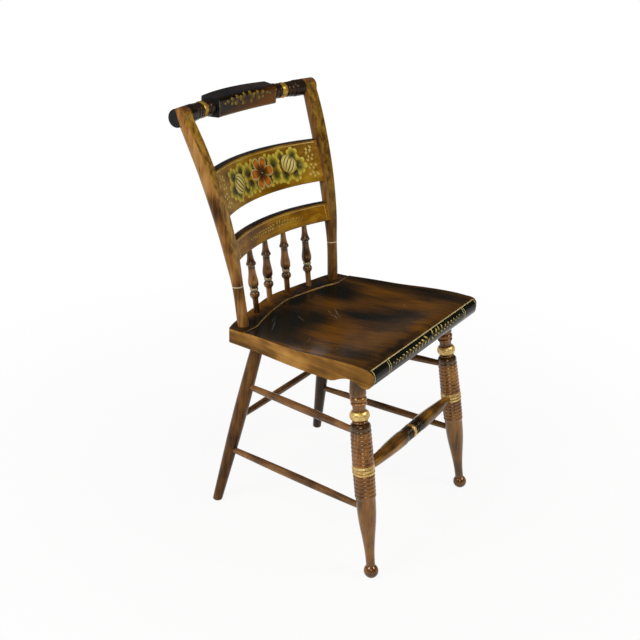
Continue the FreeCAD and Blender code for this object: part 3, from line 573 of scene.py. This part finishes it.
# The last two light ovals, on the deck behind the ridge, are a painted reflection.
LIGHT_DABS_AND_DECK_SHEEN = (
    (0.024, 0.022, 0.04, 0.046, 0.8), (-0.07, -0.16, 0.06, 0.05, 0.8), (-0.08, -0.075, 0.07, 0.06, 0.7),
    (0.112, -0.142, 0.03, 0.066, 1.0), (0.03, -0.204, 0.055, 0.016, 0.8), (0.15, -0.03, 0.024, 0.07, 0.6),
    (-0.194, -0.1, 0.01, 0.11, 0.9), (0.09, -0.04, 0.03, 0.04, 0.6), (-0.105, 0.136, 0.095, 0.03, 1.9),
    (0.03, 0.146, 0.08, 0.022, 1.4),
)
SCUFFS = (
    (0.012, -0.014, 0.033, 0.0011, 0.75, 46), (0.004, -0.004, 0.03, 0.001, 0.5, 52),
    (-0.006, -0.022, 0.02, 0.0012, 0.55, 44), (-0.055, 0.032, 0.02, 0.0012, 0.5, 62),
    (-0.12, 0.052, 0.052, 0.001, 0.4, 27), (-0.098, 0.07, 0.03, 0.0009, 0.35, 22),
    (-0.138, -0.048, 0.02, 0.0012, 0.4, 22), (-0.148, -0.122, 0.009, 0.0014, 0.45, 30),
    (0.112, -0.118, 0.004, 0.0022, 0.6, 30),
)
ANY_HEIGHT = 1e3


def ovals(tree, place, spots, outside):
    """Soft ovals in plan, as (x, y, half width, half depth, strength, turn); the strongest counts."""
    total = 0.0
    for x, y, wide, deep, strength, *turn in spots:
        turned = (0, 0, math.radians(sum(turn)))
        size = (wide, deep, ANY_HEIGHT)
        local = add(tree, "ShaderNodeMapping", place, (x, y, 0), turned, size, vector_type="TEXTURE")
        far = add(tree, "ShaderNodeVectorMath", local, operation="LENGTH")
        near = add(tree, "ShaderNodeMapRange", far, outside, 0.2, 0, strength,
                   interpolation_type="SMOOTHSTEP")
        total = add(tree, "ShaderNodeMath", near, total, operation="MAXIMUM")
    return total


def pushed(tree, place, per_metre, reach, detail):
    """The place, moved about by noise, by up to half the reach each way."""
    push = blotches(tree, place, per_metre, detail, 0.5).outputs["Color"]
    push = add(tree, "ShaderNodeVectorMath", push, (0.5, 0.5, 0.5), operation="SUBTRACT")
    push = add(tree, "ShaderNodeVectorMath", push, reach, operation="SCALE")
    return add(tree, "ShaderNodeVectorMath", place, push, operation="ADD")


print("dabs", len(DARK_DABS) + len(LIGHT_DABS_AND_DECK_SHEEN), "and scuffs", len(SCUFFS))

# %% Seat
NOSE_HALF, NOSE_TOP, NOSE_BACK = 0.2025, 0.4556, -0.214
DAB_EDGE, SCUFF_EDGE = 1.5, 1.0

seat_finish, tree, place = new_material("two_tone_glazed_maple_seat")
streaks = blotches(tree, place, along_grain(1, 170, 6), 5.0)
broad = blotches(tree, place, along_grain(1, 34, 3), 3.0)
bent = pushed(tree, place, (48, 9, 9), 0.036, 3.0)
light = ovals(tree, bent, LIGHT_DABS_AND_DECK_SHEEN, DAB_EDGE)
dark = ovals(tree, bent, DARK_DABS, DAB_EDGE)
tone = weigh(tree, -0.32, (light, 0.26), (dark, -0.50), (streaks, 0.60), (broad, 0.80))
top = fade(tree, tone, 0.38, 0.88, fade(tree, tone, 0.02, 0.40, "14120B", "40290F"), "744808")
crooked = pushed(tree, place, (28, 28, 28), 0.012, 2.0)
specks = blotches(tree, place, (240, 240, 240), 3.0)
patchy = add(tree, "ShaderNodeValToRGB", specks, stops=((0.40, 0.25), (0.62, 1)))
top = painted(tree, ovals(tree, crooked, SCUFFS, SCUFF_EDGE), patchy, top, "9C9486")
side = wiped_glaze(tree, place, 1, "5A3C16", "8E6228", "B88842", 0.5 * MM)[0]
colour = painted(tree, facing(tree, UP, 0.45, 0.62), 1.0, side, top)
x, y, z = add(tree, "ShaderNodeSeparateXYZ", place).outputs
from_middle = add(tree, "ShaderNodeMath", x, operation="ABSOLUTE")
nose = 1.0
for distance, limit in ((from_middle, NOSE_HALF), (z, NOSE_TOP), (y, NOSE_BACK)):
    inside = add(tree, "ShaderNodeMath", distance, limit, operation="LESS_THAN")
    nose = add(tree, "ShaderNodeMath", nose, inside, operation="MULTIPLY")
colour = painted(tree, nose, 1.0, colour, fade(tree, broad, 0.3, 0.7, "0A0C08", "181811"))
lacquered(tree, colour, 0.20, streaks, specular=0.12)
SEAT_BOARDS = ["seat_board_" + str(number) for number in range(1, 5)]
finish(seat_finish, *SEAT_BOARDS)

# %% [markdown]
# ## Drawings pressed on the wood
# A stencil is cut in flat paper, bent round the wood and painted through. It is made the same way
# here. Each motif is drawn on a flat sheet, X to the right, Y up and the paint's own thickness in Z.
# A Geometry Nodes tree hangs the sheet in front of the wood and sends every point straight at it
# with Raycast, so the paint follows any bend, and its thin edges sink just under the surface.

# %% Tools for geometry trees


def geometry_tree(name, **sockets):
    """A geometry tree with named inputs of the kinds given, and its inputs' sockets."""
    tree = bpy.data.node_groups.new(name, "GeometryNodeTree")
    tree.interface.new_socket("Geometry", in_out="INPUT", socket_type="NodeSocketGeometry")
    for label, kind in sockets.items():
        tree.interface.new_socket(label, in_out="INPUT", socket_type="NodeSocket" + kind)
    tree.interface.new_socket("Geometry", in_out="OUTPUT", socket_type="NodeSocketGeometry")
    return tree, add(tree, "NodeGroupInput").outputs


def end_tree(tree, geometry, material):
    """Every tree ends with plain geometry in its own paint."""
    real = add(tree, "GeometryNodeRealizeInstances", geometry)
    add(tree, "NodeGroupOutput", add(tree, "GeometryNodeSetMaterial", real, Material=material))


def run_tree(piece, tree, **values):
    """Runs a tree on a piece and keeps the plain mesh that comes out."""
    modifier = piece.modifiers.new("work", "NODES")
    modifier.node_group = tree
    for item in tree.interface.items_tree:
        if item.in_out == "INPUT" and item.name in values:
            modifier[item.identifier] = values[item.name]
    graph = bpy.context.evaluated_depsgraph_get()
    pressed = piece.evaluated_get(graph)
    mesh = bpy.data.meshes.new_from_object(pressed, preserve_all_data_layers=True, depsgraph=graph)
    piece.modifiers.remove(modifier)
    piece.data = mesh
    return piece


print("tree tools ready")

# %% The pressing tree
UPRIGHT = math.pi / 2

press, given = geometry_tree("press_on_wood", Wood="Object", Hang="Vector", Lean="Float", Paint="Material")
height = add(press, "ShaderNodeSeparateXYZ", add(press, "GeometryNodeInputPosition")).outputs["Z"]
kept = add(press, "GeometryNodeStoreNamedAttribute", Geometry=given["Geometry"], Name="lift", Value=height,
           data_type="FLOAT")
sunk = add(press, "ShaderNodeCombineXYZ", Z=add(press, "ShaderNodeMath", height, -1.0, operation="MULTIPLY"))
flat = add(press, "GeometryNodeSetPosition", kept, Offset=sunk)
lean = add(press, "FunctionNodeEulerToRotation", add(press, "ShaderNodeCombineXYZ", given["Lean"]))
hung = add(press, "GeometryNodeTransform", flat, Translation=given["Hang"], Rotation=lean)
straight = add(press, "FunctionNodeRotateVector", (0, 0, -1), lean)
wood = add(press, "GeometryNodeObjectInfo", given["Wood"], transform_space="RELATIVE").outputs["Geometry"]
ray = add(press, "GeometryNodeRaycast", wood, Ray_Direction=straight, Ray_Length=0.3).outputs
missed = add(press, "FunctionNodeBooleanMath", ray["Is Hit"], operation="NOT")
landed = add(press, "GeometryNodeDeleteGeometry", hung, missed)
lift = add(press, "GeometryNodeInputNamedAttribute", "lift", data_type="FLOAT")
proud = add(press, "ShaderNodeVectorMath", ray["Hit Normal"], lift, operation="SCALE")
where = add(press, "ShaderNodeVectorMath", ray["Hit Position"], proud, operation="ADD")
laid = add(press, "GeometryNodeSetPosition", landed, Position=where)
end_tree(press, add(press, "GeometryNodeRemoveAttribute", laid, Name="lift"), given["Paint"])


def press_on(piece, paint, wood, hang, slot, lean=UPRIGHT):
    """Presses a flat drawing on a wooden part and makes it ride with the chair."""
    run_tree(piece, press, Wood=wood, Hang=hang, Lean=lean, Paint=paint)
    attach(piece, "root")
    print(piece.name, "has", len(piece.data.polygons), "faces")


print("the pressing tree has", len(press.nodes), "nodes")

# %% [markdown]
# ### Motifs
# Stencil ornament is built from few shapes: a rounded lobe, which makes leaves and petals, and the
# rib of a round fruit. Each is a small grid of points with its own UV map: U runs across the motif
# and V from its root to its tip, and that is what the bronze colours fade along.

# %% The sheet
SINK = -0.06 * MM
PAINT = 0.10 * MM
LAYER = 0.05 * MM


class Sheet:
    """A flat drawing that motifs are added to."""

    def __init__(self):
        self.points, self.faces, self.uvs, self.tones = [], [], [], []

    def grid(self, rows, columns, place, tone, layer):
        """A grid of points; place gives each one's X and Y from its V and U shares."""
        first = len(self.points)
        for row in range(rows + 1):
            for column in range(columns + 1):
                v, u = row / rows, column / columns
                edge = row in (0, rows) or column in (0, columns)
                self.points.append((*place(v, u), SINK if edge else PAINT + layer * LAYER))
                self.uvs.append((u, v))
                self.tones.append(tone)
        for row in range(rows):
            for column in range(columns):
                here = first + row * (columns + 1) + column
                self.faces.append((here, here + 1, here + columns + 2, here + columns + 1))

    def as_object(self, name):
        piece = new_mesh(name, self.points, [], self.faces)
        layer = piece.data.uv_layers.new(name="UVMap")
        for loop in piece.data.loops:
            layer.data[loop.index].uv = self.uvs[loop.vertex_index]
        piece.data.attributes.new("tone", "FLOAT", "POINT").data.foreach_set("value", self.tones)
        return piece


print("paint film", PAINT / MM, "mm thick")

# %% Motifs


def lobe(sheet, x, y, angle, length, width, layer=0, bend=0.0, tone=0.5, waist=0.22, widest=0.66):
    """A rounded lobe from its root at x, y, in millimetres and degrees. Bend turns its tip."""
    start, turn = math.radians(angle), math.radians(bend)

    def place(v, u):
        heading = start + turn * v / 2
        along = length * v
        if v < widest:
            half = waist + (1 - waist) * math.sin(v / widest * math.pi / 2) ** 1.4
        else:
            half = math.sqrt(max(0.0, 1 - ((v - widest) / (1 - widest)) ** 2)) * 0.98 + 0.02
        side = (0.5 - u) * width * half
        px = x + along * math.cos(heading) - side * math.sin(heading + turn * v / 2)
        py = y + along * math.sin(heading) + side * math.cos(heading + turn * v / 2)
        return px * MM, py * MM

    sheet.grid(10, 6, place, tone, layer)


def fan(sheet, x, y, angle, spread, count, length, width, layer, seed):
    """A leaf of rounded lobes that spread from one dark root."""
    chance = random.Random(seed)
    for number in range(count):
        share = number / (count - 1) - 0.5
        reach = length * (1 - 0.35 * abs(share)) * chance.uniform(0.93, 1.05)
        across = width * chance.uniform(0.94, 1.06)
        lobe(sheet, x, y, angle + spread * share, reach, across, layer + number % 2 * 0.4, bend=18 * share,
             tone=chance.uniform(0.3, 0.7))


def disc(sheet, x, y, across, layer, tone=0.5):
    """A round dot of paint."""
    lobe(sheet, x - across / 2, y, 0, across, across, layer, tone=tone, waist=0.02, widest=0.5)


def rib(sheet, x, y, radius, tilt, west, east, layer, tone):
    """One rib of a round fruit, between two of its meridians."""
    turn = math.radians(tilt)

    def place(v, u):
        latitude = (v - 0.5) * math.pi * 0.98
        longitude = (west + (east - west) * u) * math.pi / 2
        px = radius * math.cos(latitude) * math.sin(longitude)
        py = radius * 0.95 * math.sin(latitude)
        east_of_middle = px * math.cos(turn) - py * math.sin(turn)
        above_middle = px * math.sin(turn) + py * math.cos(turn)
        return (x + east_of_middle) * MM, (y + above_middle) * MM

    sheet.grid(12, 5, place, tone, layer)


print("motifs ready")

# %% [markdown]
# ### Bronze paints
# The stencils are bronze powders rubbed on tacky varnish through the cut paper. The powder is thick
# and bright at a motif's edge and fades to the dark ground at its root, with fine rays where the
# velvet rubber dragged. So each paint is a ramp along V, darkened at the sides and streaked with
# noise that is stretched along V.

# %% Bronze paints


def bronze(name, stops, ray_colour, rays=0.5, metal=0.12, edge_dark=0.35, edge_from=0.62):
    """A stencilled bronze: colours from root to tip, as (place, hex)."""
    material, tree, place = new_material(name)
    u, v = add(tree, "ShaderNodeSeparateXYZ", add(tree, "ShaderNodeUVMap", uv_map="UVMap")).outputs[:2]
    tone = add(tree, "ShaderNodeAttribute", attribute_name="tone").outputs["Fac"]
    grit = blotches(tree, place, (900, 900, 900), 2.0)
    from_root = weigh(tree, -0.20, (v, 1.0), (grit, 0.16), (tone, 0.24))
    shades = add(tree, "ShaderNodeValToRGB", from_root, stops=stops)
    across = add(tree, "ShaderNodeMath", weigh(tree, -1.0, (u, 2.0)), operation="ABSOLUTE")
    side = add(tree, "ShaderNodeValToRGB", across, stops=((edge_from, 0), (1.0, 1)))
    colour = painted(tree, side, edge_dark, shades, stops[0][1])
    drag = (weigh(tree, 0.0, term) for term in ((u, 9.0), (v, 1.2), (tone, 40.0)))
    drag = blotches(tree, add(tree, "ShaderNodeCombineXYZ", *drag), (1, 1, 1), 2.0, 0.5)
    dragged = add(tree, "ShaderNodeValToRGB", drag, stops=((0.52, 0), (0.62, 1)))
    near_root = add(tree, "ShaderNodeValToRGB", v, stops=((0.15, 1), (0.75, 0)))
    lines = add(tree, "ShaderNodeMath", dragged, near_root, operation="MULTIPLY")
    lacquered(tree, painted(tree, lines, rays, colour, ray_colour), 0.30, grit, metal, 0.12)
    return material


leaf_bronze = bronze(
    "pale_gold_bronze_leaves", ((0.12, "1B1C10"), (0.36, "4A4414"), (0.56, "8E7E20"), (0.78, "BFAA40")),
    "A39C56", 0.55, edge_dark=0.7, edge_from=0.7)
fruit_bronze = bronze(
    "pale_bronze_fruit", ((0.02, "6B5C18"), (0.22, "AA9840"), (0.60, "D8C674"), (1.0, "86762E")),
    "E4D6A0", 0.5, edge_dark=0.75, edge_from=0.90)
petal_bronze = bronze(
    "orange_bronze_petals", ((0.05, "2C1604"), (0.34, "713A08"), (0.62, "C06F1C"), (1.0, "80480E")),
    "62340A", 0.45, edge_dark=0.45)
cream_bronze = bronze(
    "cream_bronze_edges", ((0.10, "4A3A1C"), (0.45, "A39158"), (1.0, "B8A56C")), "B8A56C", 0.2,
    edge_dark=0.1)
sprig_bronze = bronze(
    "pale_cream_bronze_sprigs", ((0.0, "8C7636"), (0.6, "BCA85C")), "C4B26A", 0.2, edge_dark=0.0)
umber_paint = bronze(
    "umber_stencil_shade", ((0.0, "1E1A0E"), (1.0, "2A2210")), "3A2C14", 0.2, 0.0, 0.0)
faint_bronze = bronze(
    "faint_gold_bronze", ((0.10, "5A450C"), (0.50, "A08A38"), (0.90, "C4AE62")), "A08C4C", 0.3)
vine_bronze = bronze(
    "bright_gold_bronze_vine", ((0.10, "6A5210"), (0.45, "AC9638"), (0.90, "CDB96A")), "B7A450", 0.3)
crest_bronze = bronze(
    "rubbed_gold_bronze", ((0.10, "2C1E0C"), (0.50, "5C481A"), (0.90, "8E7636")), "6E5A28", 0.4,
    edge_dark=0.5)
print("bronze paints made")

# %% [markdown]
# ### The wide slat's stencil
# An orange flower between two round ribbed fruits, with lobed leaves all round and a sprig of
# berries at each end, is the usual ornament of such chairs. This one is laid out afresh from those
# parts. Each colour is its own cut paper, so each is its own piece.

# %% Flower
leaves, fruit, petals, edges, shade, sprigs = (Sheet() for _ in range(6))
HEART_X, HEART_Y = 2.5, 1.0
PETALS = ((4, 30), (62, 26.5), (120, 27.5), (177, 29), (238, 27), (300, 27.5))


def around(x, y, radius, angle):
    """A point at a radius and an angle from x, y."""
    return x + radius * math.cos(math.radians(angle)), y + radius * math.sin(math.radians(angle))


for number, (angle, reach) in enumerate(PETALS):
    root = around(HEART_X, HEART_Y, 5, angle)
    lobe(edges, *root, angle, reach + 1.1, 24.2, 5, tone=0.5 + 0.1 * (number % 2), waist=0.45, widest=0.62)
    lobe(petals, *root, angle, reach, 21.8, 6.5, tone=0.35 + 0.3 * (number % 2), waist=0.42, widest=0.60)
disc(shade, HEART_X, HEART_Y, 17, 8)
disc(edges, HEART_X, HEART_Y, 4.2, 10, 1.0)
for number in range(12):
    disc(edges, *around(HEART_X, HEART_Y, 5.6, 30 * number), 1.1, 10, 0.2)
print("petals:", len(PETALS))

# %% Fruit
FRUIT = ((-80, -2.0, 42), (85, 4.0, -38))
RIBS = 7
RIB_WIDTH = 1 / 3.55
for x, y, tilt in FRUIT:
    disc(shade, x, y, 42, 3.4)
    for number in range(RIBS):
        west = (number - RIBS / 2) * RIB_WIDTH
        rib(fruit, x, y, 19.8, tilt, west, west + RIB_WIDTH, 5.5, 0.8 - 0.09 * number)
    for number in range(5):
        lobe(shade, *around(x, y, 15, tilt + 90), 72 * number, 4.6, 2.0, 9)
print("fruit:", len(FRUIT))

# %% Leaves and sprigs
FANS = (
    (-96, 12, 118, 125, 4, 23, 13), (-103, -8, 196, 160, 5, 24, 13), (-90, -17, 262, 125, 4, 20, 12.5),
    (-66, 17, 78, 120, 4, 20, 12.5), (-58, -16, 282, 125, 4, 21, 12.5), (-41, 8, 124, 165, 5, 24, 13),
    (-39, -10, 236, 165, 5, 24, 13), (-18, 16, 104, 80, 3, 19, 12), (-16, -15, 256, 80, 3, 19, 12),
    (22, 16, 76, 80, 3, 19, 12), (22, -14, -76, 80, 3, 19, 12), (43, 10, 62, 165, 5, 24, 13),
    (44, -9, -66, 165, 5, 24, 13), (68, 19, 110, 110, 4, 18, 12), (99, 17, 62, 125, 4, 21, 13),
    (109, -2, -8, 160, 5, 24, 13), (97, -16, -74, 125, 4, 20, 12.5), (70, -15, 248, 120, 4, 21, 12.5),
)
for number, (x, y, angle, *shape) in enumerate(FANS):
    disc(shade, *around(x, y, 5, angle), 24, 0.2)
    fan(leaves, x, y, angle, *shape, 1 + number % 2, number)
for side, turn in ((-1, 180), (1, 0)):
    for angle, rise in ((42, 20), (14, 7), (-14, -7), (-42, -20)):
        for step in range(4):
            px = side * (133 + step * 5.0)
            py = rise + math.sin(math.radians(angle)) * step * 3.0
            swing = 1 if step % 2 else -1
            lobe(sprigs, px, py, turn + side * (angle + 44 * swing), 7.4, 4.0, 3, tone=0.8)
            disc(sprigs, px + side * 2.4, py + 3.4 * swing, 3.4, 3, 0.8)
print("leaves:", len(FANS))

# %% Press the wide slat's sheets
WIDE_SLAT = (parts["wide_slat"], (0, 0.05, 0.693), "walnut_finish")
for sheet, name, paint in (
    (shade, "shade", umber_paint), (leaves, "leaves", leaf_bronze), (fruit, "fruit", fruit_bronze),
    (edges, "edges", cream_bronze), (petals, "petals", petal_bronze), (sprigs, "sprigs", sprig_bronze),
):
    piece = sheet.as_object("wide_slat_stencil_" + name)
    press_on(piece, paint, *WIDE_SLAT)

# %% [markdown]
# ### Vines
# The rolled front and the narrow slat each carry a run of small leaves. A second tree sets one leaf
# again and again along a line, turned left and right by turns, small at the ends and larger in the
# middle. One tree with named inputs draws both. The crest's block has a small cut stencil instead.

# %% Vine tree
vine, given = geometry_tree("leaves_along_a_line", Leaf="Object", Count="Int", Turn="Float", Smallest="Float",
                            Largest="Float", Paint="Material")
curve = add(vine, "GeometryNodeMeshToCurve", given["Geometry"])
even = add(vine, "GeometryNodeResampleCurve", curve, Count=given["Count"])
index = add(vine, "GeometryNodeInputIndex")
share = add(vine, "ShaderNodeMath", index, given["Count"], operation="DIVIDE")
odd = add(vine, "ShaderNodeMath", index, 2.0, operation="MODULO")
loose = add(vine, "FunctionNodeRandomValue", -0.22, 0.22, Seed=7, data_type="FLOAT")
swing = weigh(vine, loose, (weigh(vine, -1.0, (odd, 2.0)), given["Turn"]))
past_middle = add(vine, "ShaderNodeMath", share, 0.5, operation="GREATER_THAN")
turned = weigh(vine, swing, (weigh(vine, math.pi, (past_middle, -math.pi)), 1.0))
from_end = add(vine, "ShaderNodeMath", share, 0.5, operation="PINGPONG")
size = add(vine, "ShaderNodeMapRange", from_end, 0.0, 0.5, given["Smallest"], given["Largest"])
spots = add(vine, "GeometryNodeCurveToPoints", even, mode="EVALUATED")
leaf = add(vine, "GeometryNodeObjectInfo", given["Leaf"]).outputs["Geometry"]
spin = add(vine, "FunctionNodeEulerToRotation", add(vine, "ShaderNodeCombineXYZ", Z=turned))
scale = add(vine, "ShaderNodeCombineXYZ", size, size, 1.0)
placed = add(vine, "GeometryNodeInstanceOnPoints", spots, Instance=leaf, Rotation=spin, Scale=scale)
end_tree(vine, placed, given["Paint"])


def line_object(name, places):
    """A line through places in millimetres, on a flat sheet."""
    points = [(x * MM, y * MM, 0) for x, y in places]
    return new_mesh(name, points, [(i, i + 1) for i in range(len(points) - 1)], [])


def leaf_vine(name, places, count, turn, smallest, largest, paint):
    leaf_sheet = Sheet()
    lobe(leaf_sheet, 0, 0, 0, 8.5, 3.4, 1, bend=20, tone=0.6, waist=0.1, widest=0.5)
    leaf = leaf_sheet.as_object(name + "_leaf")
    piece = run_tree(line_object(name, places), vine, Leaf=leaf, Count=count, Turn=math.radians(turn),
                     Smallest=smallest, Largest=largest, Paint=paint)
    bpy.data.objects.remove(leaf)
    return piece


print("vine tree ready")

# %% [markdown]
# The seat is four boards, and a sheet can be pressed on one object only. Pressed on each board by
# itself, a leaf on a joint would be cut in two. So a cast of all four is made for the pressing, and
# it is taken away at the end.

# %% Vines and the crest's leaves
corners, faces = [], []
for name in SEAT_BOARDS:
    board = parts[name].data
    faces += [tuple(len(corners) + index for index in face.vertices) for face in board.polygons]
    corners += [tuple(vertex.co) for vertex in board.vertices]
cast = new_mesh("seat_cast", corners, [], faces)

front_line = [(-132, 0.5), (-60, -0.5), (0, 1), (60, -0.5), (124, 0.5)]
front_vine = leaf_vine("seat_front_vine", front_line, 42, 42, 0.58, 1.35, vine_bronze)
press_on(front_vine, vine_bronze, cast, (0, -0.29, 0.4465), "seat_finish")
low_line = [(-86, -1), (-40, 1), (0, 2), (40, 1), (86, -1)]
low_vine = leaf_vine("lower_slat_vine", low_line, 40, 38, 0.55, 1.1, faint_bronze)
press_on(low_vine, faint_bronze, parts["lower_slat"], (0, 0.05, 0.5845), "walnut_finish")

CREST_LEAVES = (
    (4, 0, 52, 13, 9), (6, -1, 12, 19, 10), (5, -2, -38, 12, 8), (22, 1, 24, 15, 8), (24, -2, -16, 16, 8),
    (38, 1, 16, 15, 7), (40, -1, -22, 12, 6), (53, 0, 8, 13, 5.5), (64, 1, -12, 10, 4.5),
)
crest_sheet = Sheet()
for side, turn in ((-1, 180), (1, 0)):
    for x, rise, angle, length, width in CREST_LEAVES:
        lobe(crest_sheet, side * x, rise, turn + side * angle, 1.12 * length, 1.3 * width, 1 + x * 0.01,
             bend=side * 14, waist=0.1, widest=0.5)
crest_stencil = crest_sheet.as_object("crest_stencil")
press_on(crest_stencil, crest_bronze, parts["crest_rail"], (0, 0.15, 0.8430), "dark_crest_finish")

# %% [markdown]
# ### Stripes
# The fine lines are pulled with a long soft brush that is never lifted, so a stripe swells a little
# and thins again. A third tree turns a drawn line into a low strip of paint whose width wavers. The
# line along the ridge of the seat is a smooth curve, so every line is run through Catmull-Rom.

# %% Stripe tree
brush, given = geometry_tree("brush_line", Width="Float", Waver="Float", Paint="Material")
curve = add(brush, "GeometryNodeMeshToCurve", given["Geometry"])
smooth = add(brush, "GeometryNodeCurveSplineType", curve, spline_type="CATMULL_ROM")
even = add(brush, "GeometryNodeResampleCurve", smooth, Length=1.5 * MM, mode="LENGTH")
upward = add(brush, "GeometryNodeSetCurveNormal", even, mode="Z_UP")
wander = add(brush, "ShaderNodeTexNoise", add(brush, "GeometryNodeInputPosition"), Scale=60.0)
wander = add(brush, "ShaderNodeMath", wander, 0.5, operation="SUBTRACT")
halves = (weigh(brush, 0.0, (given["Width"], half)) for half in (-0.5, 0.5))
left, right = (add(brush, "ShaderNodeCombineXYZ", half, -SINK) for half in halves)
profile = add(brush, "GeometryNodeCurveQuadraticBezier", 6, left, (0, -3 * PAINT, 0), right)
strip = add(brush, "GeometryNodeCurveToMesh", upward, profile, weigh(brush, 1.0, (wander, given["Waver"])))
rise = add(brush, "ShaderNodeSeparateXYZ", add(brush, "GeometryNodeInputNormal")).outputs["Z"]
down = add(brush, "FunctionNodeCompare", rise, 0.0, operation="LESS_THAN")
end_tree(brush, add(brush, "GeometryNodeFlipFaces", strip, down), given["Paint"])
print("the stripe tree has", len(brush.nodes), "nodes")

# %% Stripe tools


def stripe_paint(name, light, dark):
    material, tree, place = new_material(name)
    grit = blotches(tree, place, (300, 300, 300), 3.0)
    lacquered(tree, fade(tree, grit, 0.35, 0.62, dark, light), 0.34, grit, 0.1, 0.15)
    return material


def stripe(name, bed, places, width, paint):
    """Pulls a stripe and presses it on its bed: the wood, where its sheet hangs, the slot, which is not used,
    and the lean.
    """
    piece = run_tree(line_object(name, places), brush, Width=width * MM, Waver=0.4, Paint=paint)
    heights = [vertex.co.z / MM for vertex in piece.data.vertices]
    print(name, "lies", round(min(heights), 3), "to", round(max(heights), 3), "mm off its sheet")
    press_on(piece, paint, *bed)


def level(half, y):
    """A level line on a sheet, in millimetres."""
    return [(-half, y), (0, y), (half, y)]


def upright(x, top, bottom):
    """An upright line on a sheet, in millimetres."""
    return [(x, top), (x, 0), (x, bottom)]


print("every stripe wavers by four tenths of its width")

# %% Pull the stripes
cream_stripe = stripe_paint("cream_striping_paint", "C0A662", "96782E")
tan_stripe = stripe_paint("tan_striping_paint", "8A6E3C", "5E4722")
ridge_stripe = stripe_paint("worn_tan_striping_paint", "8E7750", "5A4428")
gold_stripe = stripe_paint("pale_gold_striping_paint", "CDBE90", "93824E")

LOW = (parts["lower_slat"], (0, 0.05, 0.5853), "walnut_finish")
CREST = (parts["crest_rail"], (0, 0.15, 0.836), "dark_crest_finish")
NOSE = (cast, (0, -0.29, 0.438), "seat_finish")
NOSE_EDGE = (cast, (0, -0.2614, 0.4914), "seat_finish", math.pi / 4)
SEAT_TOP = (cast, (0, 0, 0.5), "seat_finish", 0.0)
stripe("wide_slat_top_stripe", WIDE_SLAT, level(162, 38.3), 2.0, cream_stripe)
stripe("lower_slat_top_stripe", LOW, level(150, 15.4), 2.0, cream_stripe)
stripe("lower_slat_bottom_stripe", LOW, level(150, -16.2), 1.5, tan_stripe)
for side, word in ((-1, "left"), (1, "right")):
    stripe("lower_slat_" + word + "_stripe", LOW, upright(side * 150, 15.4, -16.2), 2.0, cream_stripe)
    stripe("crest_" + word + "_stripe", CREST, upright(side * 90, 15.5, -14.8), 2.2, tan_stripe)
    stripe("seat_front_" + word + "_rim_stripe", NOSE, upright(side * 200.5, 17.2, -16), 2.4, gold_stripe)
    for number, x in enumerate((144.5, 150.5)):
        name = "seat_front_" + word + "_cross_stripe_" + str(number + 1)
        stripe(name, NOSE, upright(side * x, 17.2, -16), 2.2, gold_stripe)
stripe("crest_bottom_stripe", CREST, level(90, -14.8), 2.0, tan_stripe)
stripe("seat_front_top_stripe", NOSE_EDGE, level(202, 0), 2.6, gold_stripe)
ridge = [(190, 72.4), (175, 72.4), (145, 73.6), (117.8, 83.2), (69.9, 96.3), (15.2, 105.9)]
ridge += [(-x, y) for x, y in reversed(ridge)]
stripe("seat_ridge_stripe", SEAT_TOP, ridge, 1.4, ridge_stripe)
bpy.data.objects.remove(cast)
